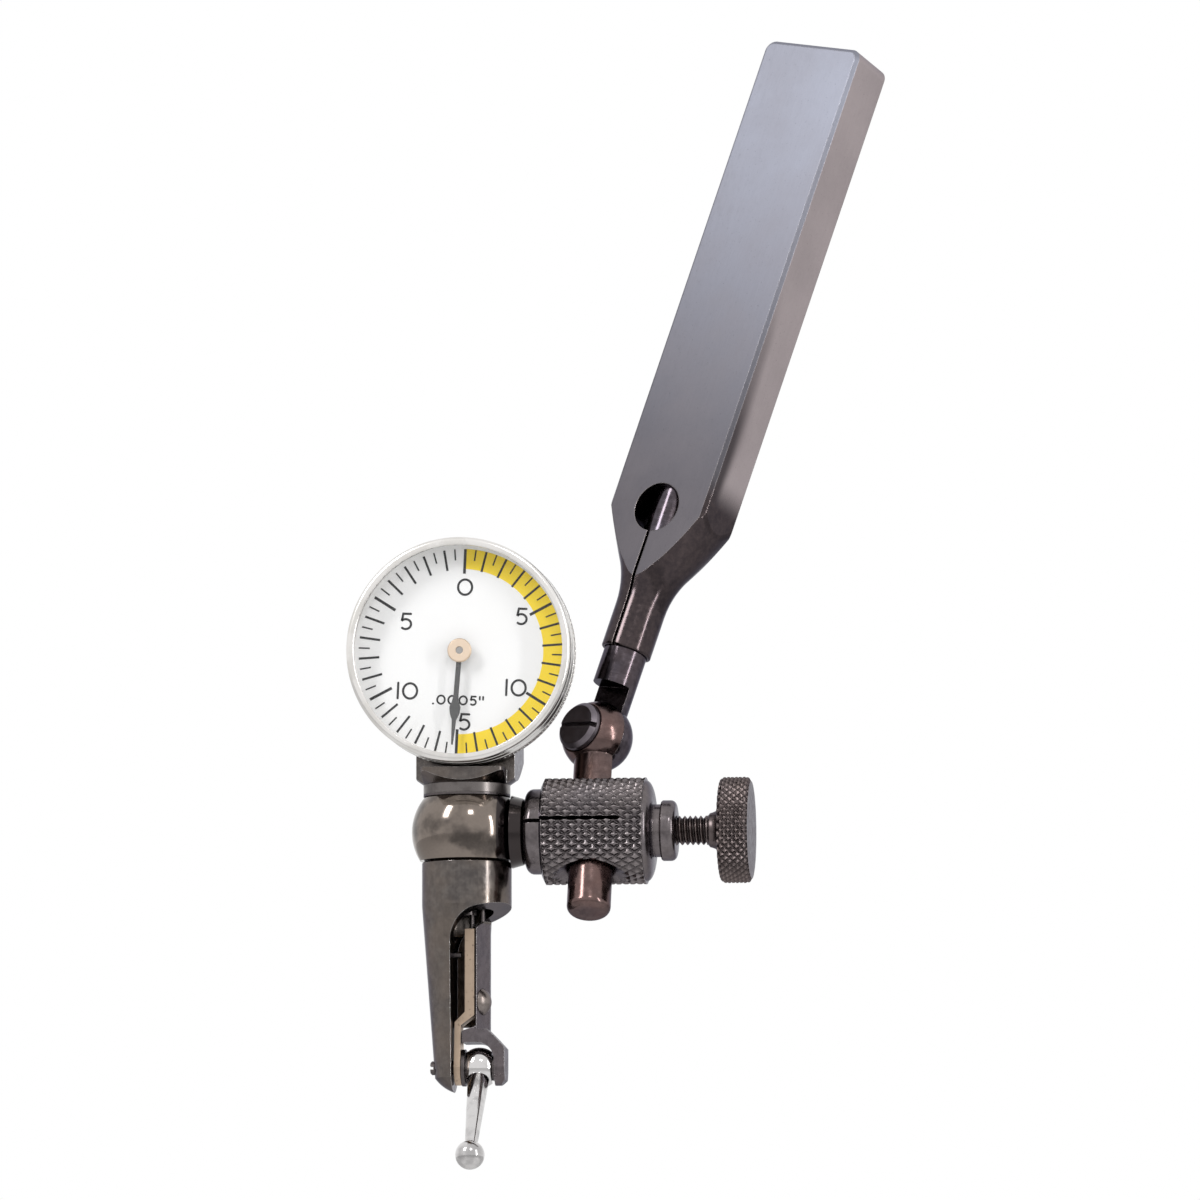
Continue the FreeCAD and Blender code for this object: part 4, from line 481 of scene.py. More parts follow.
@dataclass(frozen=True)
class ShankSteel(BluedSteel):
    """Blued bar: satin, with painted light that makes it paler towards its free end and its side faces paler than
    the front, and painted dark streaks low on the sides; smooth and dark where it is turned.
    """

    flat: Vector = field(default_factory=lambda: FORWARD.copy())
    # painted light: the pale colour of the bar's free end, which the bar grades towards
    free: Colour = (0.285, 0.295, 0.35)
    # painted light: the side faces are painted much paler than the front flat
    side: Colour = (0.42, 0.365, 0.37)
    # painted shade: the colour of dark streaks low on the side faces
    side_painted_shade: Colour = (0.085, 0.072, 0.075)
    # span along the bar over which the painted dark streaks come in, strongest towards the neck
    side_shade_span: tuple[float, float] = (62 * MM, 36 * MM)
    turned: Colour = (0.034, 0.028, 0.032)
    turned_pale: Colour = (0.085, 0.066, 0.066)
    # span along the bar over which the painted light grades from deep to free
    shade_span: tuple[float, float] = (22 * MM, 84 * MM)
    neck_end: float = 31 * MM

    def make(self) -> bpy.types.Material:
        """Build the material.

        Returns:
            The material.
        """
        material, web = new_material(self.name)
        place = web.place()
        offset = web.vector("SUBTRACT", place, tuple(self.centre))
        along = web.dot(offset, self.axis)
        front = abs(web.facing(self.flat))
        beside = front.step(0.75, 0.25)
        lathe_cut = along.step(self.neck_end, self.neck_end - 4 * MM) * front.step(0.9995, 0.99)
        cloud = web.noise(place, 120, 4.0).step(0.3, 0.7)
        mottle = web.noise(place, 1500, 5.0, 0.7).step(0.3, 0.75)
        speck = web.noise(place, 5200, 2.0).step(0.66, 0.75)
        marks = web.noise(web.drawn_out(self.axis, 7000, 420), 1.0, 3.0)
        # painted shade: a streak pattern that darkens the side faces
        painted_dark_streak = web.noise(web.drawn_out(self.axis, 150, 36), 1.0, 1.0).step(0.42, 0.62)
        rounded = web.rounded(self.edge)
        edge = web.edges(rounded)
        # painted light: the bar grows paler towards its free end
        tone = web.mix(along.step(*self.shade_span), self.deep, self.free)
        # painted light and shade on the side faces: paler than the front, with dark streaks towards the neck
        side = web.mix(painted_dark_streak * along.step(*self.side_shade_span), self.side, self.side_painted_shade)
        tone = web.mix(beside, tone, side)
        tone = web.mix(cloud * self.tint_share, tone, self.tint)
        turned = web.mix(mottle * 0.6 + cloud * 0.4, self.turned, self.turned_pale)
        tone = web.mix(lathe_cut, tone, turned)
        tone = web.mix(edge * self.wear * (0.4 + mottle), tone, self.worn)
        surface(web, {
            "Base Color": web.mix(speck * 0.3 + marks * 0.12, tone, (0.03, 0.028, 0.03)),
            "Metallic": 1.0,
            "Roughness": self.roughness - lathe_cut * 0.24 + (mottle - 0.5) * self.spread,
            "Specular Tint": (0.6, 0.6, 0.65, 1),
            "Normal": web.bump(marks * 0.6 + mottle * 0.4, self.mark, rounded),
        })
        return material


@dataclass(frozen=True)
class Polished:
    """Bright metal with a faint smear on it, and painted reflection: darker patches where dark surroundings would
    show in it.
    """

    name: str
    tone: Colour
    # colour of the painted dark reflection patches
    shadow: Colour
    roughness: float = 0.08
    smear_and_reflection: float = 0.10
    cells: float = 330.0
    edge: float = 0.06 * MM
    neck: Optional[float] = None
    neck_tone: Colour = (0.045, 0.038, 0.038)

    def make(self) -> bpy.types.Material:
        """Build the material.

        Returns:
            The material.
        """
        material, web = new_material(self.name)
        place = web.place()
        smear_and_reflection = web.noise(place, self.cells, 4.0, 0.55).step(0.44, 0.62)
        fine = web.noise(place, 3800, 3.0)
        # painted reflection: the patch pattern darkens the colour towards shadow; it also roughens the surface as
        # a smear
        tone = web.mix(smear_and_reflection * 0.75 + fine * 0.25, self.tone, self.shadow)
        if self.neck is not None:
            beyond = web.dot(place, ACROSS).step(self.neck, self.neck + 0.15 * MM)
            tone = web.mix(beyond, tone, self.neck_tone)
        surface(web, {
            "Base Color": tone,
            "Metallic": 1.0,
            "Roughness": self.roughness + smear_and_reflection * self.smear_and_reflection + (fine - 0.5) * 0.05,
            "Normal": web.bump(fine, 0.0003 * MM, web.rounded(self.edge)),
        })
        return material


@dataclass(frozen=True)
class Brass:
    """Blanked or turned brass with a matt skin and dark specks."""

    name: str
    tone: Colour
    dull: Colour
    specks: float = 0.5
    roughness: float = 0.38
    grain: Vector = field(default_factory=lambda: UP.copy())

    def make(self) -> bpy.types.Material:
        """Build the material.

        Returns:
            The material.
        """
        material, web = new_material(self.name)
        place = web.place()
        skin = web.noise(place, 700, 5.0, 0.65)
        drag = web.noise(web.drawn_out(self.grain, 8000, 700), 1.0, 3.0)
        speck = web.noise(place, 2600, 3.0, 0.7).step(0.62, 0.70) * self.specks
        rounded = web.rounded(0.05 * MM)
        tone = web.mix(skin * 0.6 + drag * 0.4, self.tone, self.dull)
        surface(web, {
            "Base Color": web.mix(speck, tone, (0.10, 0.07, 0.05)),
            "Metallic": 1.0 - speck * 0.6,
            "Roughness": self.roughness + (skin - 0.5) * 0.2 + speck * 0.3,
            "Normal": web.bump(drag * 0.6 + skin * 0.4, 0.002 * MM, rounded),
        })
        return material


@dataclass(frozen=True)
class Print:
    """Enamel, ink or lacquer: a flat colour with a little tooth and unevenness."""

    name: str
    tone: Colour
    shade: Colour
    roughness: float = 0.5
    gloss: float = 0.0

    def make(self) -> bpy.types.Material:
        """Build the material.

        Returns:
            The material.
        """
        material, web = new_material(self.name)
        place = web.place()
        uneven = web.noise(place, 260, 4.0)
        tooth = web.noise(place, 5200, 3.0)
        surface(web, {
            "Base Color": web.mix(uneven * 0.7 + tooth * 0.3, self.tone, self.shade),
            "Roughness": self.roughness + (tooth - 0.5) * 0.16,
            "Coat Weight": self.gloss,
            "Coat Roughness": 0.15,
            "Normal": web.bump(tooth, 0.0012 * MM, web.rounded(0.02 * MM)),
        })
        return material


@dataclass(frozen=True)
class Crystal:
    """Watch crystal: clear in the middle, with its gloss on top and a faint wipe mark."""

    name: str
    tone: Colour = (0.995, 0.995, 0.995)
    least: float = 0.006
    grazing: float = 0.6
    wiped: float = 0.004

    def make(self) -> bpy.types.Material:
        """Build the material.

        Returns:
            The material.
        """
        material, web = new_material(self.name)
        wipe = web.noise(web.drawn_out(Vector((0.8, 0, 0.6)), 900, 120), 1.0, 4.0).step(0.45, 0.8)
        clear = web.node("ShaderNodeBsdfTransparent", {}, {0: (*self.tone, 1)})
        gloss = web.node("ShaderNodeBsdfPrincipled", {}, {
            "Base Color": (0.95, 0.97, 0.97, 1),
            "Roughness": 0.03 + wipe * 0.05,
            "Metallic": 1.0,
        })
        grazing = web.shade("ShaderNodeLayerWeight", {}, {"Blend": 0.5}, "Facing")
        share = self.least + grazing ** 5.0 * self.grazing + wipe * self.wiped
        sockets = {0: share, 1: clear.outputs[0], 2: gloss.outputs[0]}
        both = web.node("ShaderNodeMixShader", {}, sockets)
        web.node("ShaderNodeOutputMaterial", {}, {0: both.outputs[0]})
        return material


# Meshes


def triangle(phase: np.ndarray) -> np.ndarray:
    """Triangle wave: 0 at whole numbers, 1 half way between."""
    return 1 - np.abs(2 * (phase - np.floor(phase)) - 1)


@dataclass(frozen=True)
class Knurl:
    """Diamond knurl: two sets of crossing grooves that leave rows of points."""

    count: int
    pitch: float
    depth: float
    flat: float = 0.2

    def __call__(self, angle: np.ndarray, along: np.ndarray) -> np.ndarray:
        """Height over the knurl's outside, which is never above 0.

        Args:
            angle: angles round the axis.
            along: places along it.

        Returns:
            The height in metres.
        """
        turn = angle * self.count / (2 * math.pi)
        shift = along / self.pitch
        point = np.minimum(triangle(turn + shift), triangle(turn - shift))
        return self.depth * (np.minimum(point / (1 - self.flat), 1) - 1)


@dataclass(frozen=True)
class Thread:
    """Right-hand screw thread."""

    pitch: float
    depth: float

    def __call__(self, angle: np.ndarray, along: np.ndarray) -> np.ndarray:
        """Height over the thread's outside; the arguments are as for a knurl."""
        wave = triangle(along / self.pitch - angle / (2 * math.pi))
        return self.depth * (np.clip(wave * 1.25 - 0.1, 0, 1) - 1)


Relief = Union[Knurl, Thread]


@dataclass(frozen=True)
class Station:
    """A corner of a turned outline, and how the stretch that leads to it is cut."""

    along: float
    radius: float
    steps: int = 1
    relief: Optional[Relief] = None


def arc(
    middle: tuple[float, float], size: tuple[float, float], ends: tuple[float, float],
    count: int, relief: Optional[Relief] = None,
) -> list[Station]:
    """Corners along part of an ellipse.

    Args:
        middle: the ellipse's middle, along the axis and out from it.
        size: its half lengths the same two ways; a hollow has the second below 0.
        ends: first and last angle; 0 is straight out and a right angle is along the axis.
        count: how many corners.
        relief: what is cut into them.

    Returns:
        The corners, in order.
    """
    return [
        Station(middle[0] + size[0] * math.sin(a), middle[1] + size[1] * math.cos(a), 1, relief)
        for a in np.linspace(*ends, count)
    ]


@dataclass(frozen=True)
class Lathe:
    """Turns outlines about an axis."""

    centre: Vector
    axis: Vector
    side: Vector

    def turn(self, name: str, outline: Sequence[Station], rounds: int) -> bpy.types.Object:
        """Turn a closed outline.

        Args:
            name: the new object's name.
            outline: its corners, in order.
            rounds: points round the axis.

        Returns:
            The object, with its relief in the vertex attribute crest.
        """
        along, radius, relief = [], [], []
        for before, corner in zip((outline[-1], *outline[:-1]), outline):
            for part in range(1, corner.steps + 1):
                share = part / corner.steps
                along.append(before.along + (corner.along - before.along) * share)
                radius.append(before.radius + (corner.radius - before.radius) * share)
                relief.append(corner.relief)
        angle = np.arange(rounds) * 2 * math.pi / rounds
        third = self.axis.cross(self.side)
        round_about = np.outer(np.cos(angle), self.side) + np.outer(np.sin(angle), third)
        places, crests = [], []
        plain = np.full(rounds, PLAIN_CREST)
        for row, (reach, size, pattern) in enumerate(zip(along, radius, relief)):
            follow = relief[(row + 1) % len(relief)]
            height = np.zeros(rounds)
            if pattern is not None and follow is pattern:
                height = pattern(angle, np.full(rounds, reach))
            points = np.array(self.centre) + reach * np.array(self.axis)
            places.append(points + round_about * (size + height)[:, None])
            crests.append(plain if pattern is None else 1 + height / pattern.depth)
        rows = len(places)
        first = np.arange(rows * rounds).reshape(rows, rounds)
        after = np.roll(first, -1, axis=0)
        faces = np.stack([
            first, after, np.roll(after, -1, axis=1), np.roll(first, -1, axis=1)
        ], axis=-1).reshape(-1, 4)
        made = new_mesh(name, np.concatenate(places), faces.tolist())
        crest = made.data.attributes.new("crest", "FLOAT", "POINT")
        crest.data.foreach_set("value", np.concatenate(crests).astype(np.float32))
        return tidy(made)


def new_mesh(name: str, places: Any, faces: Sequence[Sequence[int]]) -> bpy.types.Object:
    """A mesh object in the row frame.

    Args:
        name: its name.
        places: its points, in metres.
        faces: its faces, as lists of point numbers.

    Returns:
        The object.
    """
    mesh = bpy.data.meshes.new(name)
    mesh.from_pydata([tuple(p) for p in places], [], faces)
    made = bpy.data.objects.new(name, mesh)
    bpy.context.scene.collection.objects.link(made)
    return made


def tidy(made: bpy.types.Object) -> bpy.types.Object:
    """Weld a mesh, turn its faces outwards and shade it smooth but for its sharp edges.

    Args:
        made: the object.

    Returns:
        The same object.
    """
    work = bmesh.new()
    work.from_mesh(made.data)
    bmesh.ops.remove_doubles(work, verts=work.verts, dist=WELD)
    bmesh.ops.recalc_face_normals(work, faces=work.faces)
    work.to_mesh(made.data)
    work.free()
    made.data.shade_smooth()
    made.data.set_sharp_from_angle(angle=SHARP)
    return made


def cut(made: bpy.types.Object, tools: Sequence[bpy.types.Object]) -> bpy.types.Object:
    """Take other solids away from one, and delete them.

    Args:
        made: the solid that stays.
        tools: the solids that are taken away.

    Returns:
        The same object.
    """
    for tool in tools:
        step = made.modifiers.new("cut", "BOOLEAN")
        step.operation = "DIFFERENCE"
        step.solver = "EXACT"
        step.object = tool
    view = bpy.context.evaluated_depsgraph_get()
    mesh = bpy.data.meshes.new_from_object(made.evaluated_get(view))
    made.modifiers.clear()
    made.data = mesh
    for tool in tools:
        bpy.data.objects.remove(tool)
    return tidy(made)


def prism(
    name: str, outline: Sequence[tuple[float, float]], centre: Vector, axes: Sequence[Vector],
    low: float, high: float,
) -> bpy.types.Object:
    """A flat outline given thickness.

    Args:
        name: the object's name.
        outline: corners along the first two axes, in metres.
        centre: the outline's origin.
        axes: three directions; the third is the thickness.
        low: where the thickness starts.
        high: where it ends.

    Returns:
        The object.
    """
    count = len(outline)
    places = [
        centre + axes[0] * x + axes[1] * y + axes[2] * z for z in (low, high) for x, y in outline
    ]
    faces = [list(range(count))[::-1], list(range(count, 2 * count))]
    for here in range(count):
        there = (here + 1) % count
        faces.append([here, there, count + there, count + here])
    return new_mesh(name, places, faces)


def join(name: str, pieces: Sequence[bpy.types.Object]) -> bpy.types.Object:
    """Make one object of several.

    Args:
        name: the new object's name.
        pieces: the objects, which are used up.

    Returns:
        The joined object.
    """
    places, faces = [], []
    for piece in pieces:
        start = len(places)
        places.extend(tuple(v.co) for v in piece.data.vertices)
        faces.extend([start + n for n in face.vertices] for face in piece.data.polygons)
        bpy.data.objects.remove(piece)
    return new_mesh(name, places, faces)


def dress(made: bpy.types.Object, material: bpy.types.Material) -> bpy.types.Object:
    """Give an object one material in place of what it has.

    Args:
        made: the object.
        material: its finish.

    Returns:
        The same object.
    """
    made.data.materials.clear()
    made.data.materials.append(material)
    return made


def place_piece(
    made: bpy.types.Object, body: str, replaced: Sequence[str] = ()
) -> bpy.types.Object:
    """Put a new piece on a body of the frame.

    Args:
        made: the piece.
        body: the body it moves with.
        replaced: CAD nodes that it stands for.

    Returns:
        The same object.
    """
    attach(made, body)
    if replaced:
        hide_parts(*replaced)
    LOG.info("%s rides on %s, %d faces", made.name, body, len(made.data.polygons))
    return made


def dress_nodes(material: bpy.types.Material, *names: str) -> None:
    """Give CAD nodes a material.

    Args:
        material: the finish.
        names: the nodes.
    """
    for name in names:
        dress(frame["nodes"][name], material)
        LOG.info("%s keeps its CAD shape, finish %s", name, material.name)


# Sub-assemblies


@dataclass
class Shank:
    """Bar, stem, hinge and cross rod."""

    axis: Vector = field(default_factory=lambda: axis_of("stem_spin"))
    hinge: Vector = field(default_factory=lambda: centre_of("hinge_tilt"))

    def build(self) -> None:
        """Dress the CAD nodes, whose shapes are right."""
        flat = (mount_place("shank_back") - mount_place("shank_front")).normalized()
        dress_nodes(ShankSteel(
            "shank_steel", (0.080, 0.075, 0.084), (0.16, 0.16, 0.185), (0.17, 0.15, 0.155),
            tint_share=0.18, worn=(0.42, 0.37, 0.35), wear=0.55, roughness=0.40, spread=0.12,
            axis=self.axis, centre=self.hinge, mark=0.002 * MM, edge=0.16 * MM, flat=flat,
        ).make(), "shank_bar")
        dress_nodes(BluedSteel(
            "stem_steel", (0.036, 0.031, 0.038), (0.12, 0.106, 0.125), (0.09, 0.065, 0.062),
            roughness=0.17, grain=Grain.TURNED, axis=self.axis, centre=self.hinge,
        ).make(), "swivel_stem")
        dress_nodes(BluedSteel(
            "rod_steel", (0.065, 0.047, 0.046), (0.16, 0.118, 0.112), (0.20, 0.12, 0.108),
            tint_share=0.6, worn=(0.36, 0.27, 0.24), roughness=0.2, grain=Grain.TURNED,
            axis=axis_of("rod_spin"), centre=centre_of("rod_spin"),
        ).make(), "cross_rod")
        dress_nodes(BluedSteel(
            "hinge_screw_steel", (0.12, 0.108, 0.125), (0.24, 0.215, 0.24), (0.18, 0.15, 0.155),
            roughness=0.42, grain=Grain.TURNED, axis=axis_of("hinge_tilt"), centre=self.hinge,
        ).make(), "hinge_screw")


@dataclass
class Clamp:
    """Knurled clamp barrel and thumb screw on the stud's axis."""

    collar_length: float = 1.85 * MM
    collar_round: float = 0.9 * MM
    collar_radius: float = 4.62 * MM
    knurl_length: float = 10.37 * MM
    knurl_bevel: float = 0.3 * MM
    knurl_root: float = 0.3 * MM
    knurl_edge: float = 0.03 * MM
    rim_length: float = 0.8 * MM
    rim_bevel: float = 0.9 * MM
    shoulder_ends: tuple[float, float] = (0.1, 1.45)
    boss_radius: float = 3.28 * MM
    boss_bevel: float = 0.62 * MM
    boss_groove: float = 0.42 * MM
    boss_groove_width: float = 0.75 * MM
    stud_bore: float = 3.04 * MM
    stud_reach: float = 5.95 * MM
    rod_bore: float = 2.42 * MM
    screw_bore: float = 1.63 * MM
    mouth_radius: float = 4.3 * MM
    mouth_depth: float = 1.3 * MM
    slit: float = 0.4 * MM
    slit_reach: float = 10.62 * MM
    slit_turn: float = math.radians(13.0)
    cutter_share: float = 1.2
    knurl: Knurl = Knurl(34, 1.5 * MM, 0.34 * MM, 0.25)
    knurl_rows: int = 118
    barrel_rounds: int = 408
    drill_rounds: int = 96
    head_length: float = 3.35 * MM
    head_round: float = 0.55 * MM
    flare_length: float = 1.35 * MM
    flare_radius: float = 2.7 * MM
    flare_step: float = 0.25 * MM
    tip_bevel: float = 0.3 * MM
    thread_gap: float = 0.1 * MM
    thread_radius: float = 1.5875 * MM
    thread: Thread = Thread(0.577 * MM, 0.3 * MM)
    thread_rows: int = 150
    head_knurl: Knurl = Knurl(38, 0.85 * MM, 0.28 * MM, 0.22)
    head_rows: int = 40
    thumb_rounds: int = 368
    corner_rest: float = 0.15

    def lathe(self) -> Lathe:
        """Lathe on the clamp's axis, measured from the ball's centre."""
        return Lathe(centre_of("body_swivel"), ACROSS, axis_of("rod_spin"))

    def barrel(self) -> bpy.types.Object:
        """Turn the barrel, then cut its slit and the rod's hole.

        Returns:
            The barrel.
        """
        lathe = self.lathe()
        low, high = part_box("clamp_barrel")
        start = low.x - lathe.centre.x
        end = high.x - lathe.centre.x
        radius = (high.y - low.y) / 2
        knurl_start = start + self.collar_length
        knurl_end = knurl_start + self.knurl_length
        rim_end = knurl_end + self.rim_length
        boss_start = rim_end + self.rim_bevel
        rod = centre_of("rod_spin").x - lathe.centre.x
        knurled = radius - self.knurl_root
        groove = self.boss_radius - self.boss_groove
        groove_end = boss_start + self.boss_groove_width
        outline = [
            Station(start, self.stud_bore),
            *arc(
                (start + self.collar_round, self.collar_radius - self.collar_round),
                (self.collar_round, self.collar_round), (-RIGHT_ANGLE, 0), 8,
            ),
            Station(knurl_start, self.collar_radius),
            Station(knurl_start, radius - 2 * self.knurl_bevel),
            Station(knurl_start + self.knurl_bevel, radius),
            Station(rim_end, radius, self.knurl_rows, self.knurl),
            Station(rim_end + self.knurl_edge, knurled),
            *arc(
                (rim_end, self.boss_radius), (self.rim_bevel, knurled - self.boss_radius),
                self.shoulder_ends, 9,
            ),
            Station(boss_start, groove),
            Station(groove_end, groove),
            Station(groove_end + 0.05 * MM, self.boss_radius - 0.1 * MM),
            Station(groove_end + 0.2 * MM, self.boss_radius),
            *arc(
                (end - self.boss_bevel, self.boss_radius - self.boss_bevel),
                (self.boss_bevel, self.boss_bevel), (0, RIGHT_ANGLE), 7,
            ),
            Station(end, self.screw_bore),
            Station(rod, self.screw_bore),
            Station(rod, 0),
            Station(start + self.stud_reach, 0),
            Station(start + self.stud_reach, self.stud_bore),
        ]
        barrel = lathe.turn("clamp_barrel_knurled", outline, self.barrel_rounds)
        return cut(barrel, [self.rod_way(lathe, rod, radius), self.slit_way(lathe, start, radius)])

    def rod_way(self, lathe: Lathe, rod: float, radius: float) -> bpy.types.Object:
        """Solid of the rod's hole with its two mouths.

        Args:
            lathe: the clamp's lathe.
            rod: place of the hole along it.
            radius: the barrel's outside.

        Returns:
            The solid.
        """
        drill = Lathe(lathe.centre + ACROSS * rod, lathe.side, ACROSS)
        deep = radius - self.mouth_depth
        past = radius * self.cutter_share
        wide = self.mouth_radius * self.cutter_share
        outline = [Station(-past, 0), Station(-past, wide)]
        for side in (-1, 1):
            steps = np.linspace(1, 0, 9) if side < 0 else np.linspace(0, 1, 9)
            outline += [
                Station(side * (deep + (radius - deep) * s), self.rod_bore
                        + (self.mouth_radius - self.rod_bore) * s ** 1.5)
                for s in steps
            ]
        outline += [Station(past, wide), Station(past, 0)]
        return drill.turn("rod_way", outline, self.drill_rounds)

    def slit_way(self, lathe: Lathe, start: float, radius: float) -> bpy.types.Object:
        """Solid of the slit.

        Args:
            lathe: the clamp's lathe.
            start: the collar's open face along it.
            radius: the barrel's outside.

        Returns:
            The solid.
        """
        thin = Quaternion(ACROSS, self.slit_turn) @ lathe.side
        wide = thin.cross(ACROSS)
        half = self.slit / 2
        past = radius * self.cutter_share
        ends = (start - 1 * MM, start + self.slit_reach)
        outline = [(ends[0], -half), (ends[1], -half), (ends[1], half), (ends[0], half)]
        return tidy(prism("slit_way", outline, lathe.centre, (ACROSS, thin, wide), -past, past))

    def thumb(self) -> bpy.types.Object:
        """Turn the thumb screw with its thread and knurled head.

        Returns:
            The screw.
        """
        lathe = self.lathe()
        low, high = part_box("thumb_screw")
        tip = low.x - lathe.centre.x
        end = high.x - lathe.centre.x
        radius = (high.y - low.y) / 2
        head = end - self.head_length
        flare = head - self.flare_length
        rise = self.flare_radius - self.thread_radius
        corner = (self.head_round, self.head_round)
        inner = radius - self.head_round
        bend = RIGHT_ANGLE - self.corner_rest
        rim = radius - 1.5 * self.head_round
        outline = [
            Station(tip, 0),
            Station(tip, self.thread_radius - self.tip_bevel),
            Station(tip + self.tip_bevel, self.thread_radius),
            Station(flare - self.thread_gap, self.thread_radius, self.thread_rows, self.thread),
            Station(flare, self.thread_radius),
            *arc(
                (flare, self.flare_radius + self.flare_step), (self.flare_length, -rise),
                (0, RIGHT_ANGLE), 10,
            )[1:],
            Station(head, rim),
            *arc((head + self.head_round, inner), corner, (-bend, 0), 9, self.head_knurl),
            Station(end - self.head_round, radius, self.head_rows, self.head_knurl),
            *arc((end - self.head_round, inner), corner, (0, bend), 9, self.head_knurl)[1:],
            Station(end, rim),
            Station(end, 0),
        ]
        return lathe.turn("thumb_screw_knurled", outline, self.thumb_rounds)

    def build(self) -> None:
        """Build and dress the clamp's pieces."""
        steel = BluedSteel(
            "clamp_steel", (0.085, 0.075, 0.079), (0.21, 0.186, 0.194), (0.18, 0.155, 0.15),
            tint_share=0.5, worn=(0.37, 0.335, 0.33), wear=0.45, roughness=0.24,
            grain=Grain.TURNED, axis=ACROSS, crests=True,
        )
        brown = BluedSteel(
            "thumb_steel", (0.062, 0.050, 0.050), (0.150, 0.124, 0.124), (0.15, 0.118, 0.11),
            tint_share=0.6, worn=(0.32, 0.265, 0.25), wear=0.45, roughness=0.3,
            grain=Grain.TURNED, axis=ACROSS, crests=True,
        )
        place_piece(dress(self.barrel(), steel.make()), "clamp", ["clamp_barrel"])
        place_piece(dress(self.thumb(), brown.make()), "thumb", ["thumb_screw"])


@dataclass
class Head:
    """Ball, head, body tube and their small parts."""

    neck_inset: float = 0.35 * MM

    def build(self) -> None:
        """Dress the CAD nodes."""
        bronze = BluedSteel(
            "body_steel", (0.058, 0.052, 0.052), (0.165, 0.148, 0.138), (0.18, 0.145, 0.12),
            tint_share=0.5, worn=(0.60, 0.58, 0.57), wear=0.9, roughness=0.2, spread=0.12,
            grain=Grain.DRAWN, edge=0.09 * MM,
        )
        dress_nodes(bronze.make(), "body_tube", "head_housing", "back_cover")
        low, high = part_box("swivel_ball")
        face = centre_of("body_swivel").x + (high.z - low.z) / 2 - self.neck_inset
        ball = Polished(
            "ball_steel", (0.245, 0.206, 0.179), (0.07, 0.06, 0.055),
            roughness=0.10, smear_and_reflection=0.10, cells=230.0, neck=face,
        )
        dress_nodes(ball.make(), "swivel_ball")
        ring = Polished("ring_steel", (0.16, 0.145, 0.14), (0.08, 0.07, 0.068), 0.28)
        dress_nodes(ring.make(), "neck_ring")
        bright = Polished("small_steel", (0.42, 0.41, 0.40), (0.28, 0.27, 0.26), 0.25, 0.15)
        dress_nodes(
            bright.make(), "cover_screws", "case_screws", "bezel_spring", "pointer_arbor",
            "hairspring", "hairspring_post",
        )
        dark = BluedSteel(
            "screw_steel", (0.06, 0.054, 0.056), (0.14, 0.125, 0.125), (0.12, 0.10, 0.095),
            grain=Grain.TURNED, axis=ACROSS, centre=centre_of("lever_swing"),
        )
        dress_nodes(
            dark.make(), "pivot_screw", "contact_washer_ring", "ear_washer", "swivel_washer",
            "spindle", "stop_peg", "reversing_wire",
        )
        bush = Brass("bush_brass", (0.72, 0.55, 0.30), (0.55, 0.40, 0.22), 0.2, 0.32)
        dress_nodes(
            bush.make(), "upper_bush", "lower_bush", "front_bush", "rear_bush", "pressure_pad",
            "crown_sector", "hairspring_collet",
        )


@dataclass
class LeverWork:
    """Lever, contact, rocker and finger stud."""

    def build(self) -> None:
        """Dress the CAD nodes."""
        brass = Brass("lever_brass", (0.54, 0.42, 0.32), (0.42, 0.32, 0.24), 0.75, 0.42)
        dress_nodes(brass.make(), "lever_arm")
        chrome = Polished("contact_chrome", (0.70, 0.685, 0.68), (0.40, 0.39, 0.39), 0.08, 0.08)
        dress_nodes(chrome.make(), "contact_point")
        rocker = BluedSteel(
            "rocker_steel", (0.080, 0.070, 0.076), (0.17, 0.15, 0.16), (0.16, 0.13, 0.125),
            tint_share=0.35, worn=(0.50, 0.48, 0.48), wear=0.8, roughness=0.3, grain=Grain.DRAWN,
        )
        dress_nodes(rocker.make(), "reversing_lever")
        stud = BluedSteel(
            "stud_steel", (0.13, 0.115, 0.112), (0.27, 0.24, 0.225), (0.26, 0.20, 0.17),
            tint_share=0.5, worn=(0.5, 0.45, 0.4), wear=0.4, roughness=0.28,
        )
        dress_nodes(stud.make(), "finger_stud")


class Mark(Enum):
    """Length classes of the dial's divisions: inner radius and width, in millimetres."""

    NUMBERED = (8.44, 0.30)
    LONG = (8.87, 0.24)
    SHORT = (9.9, 0.16)


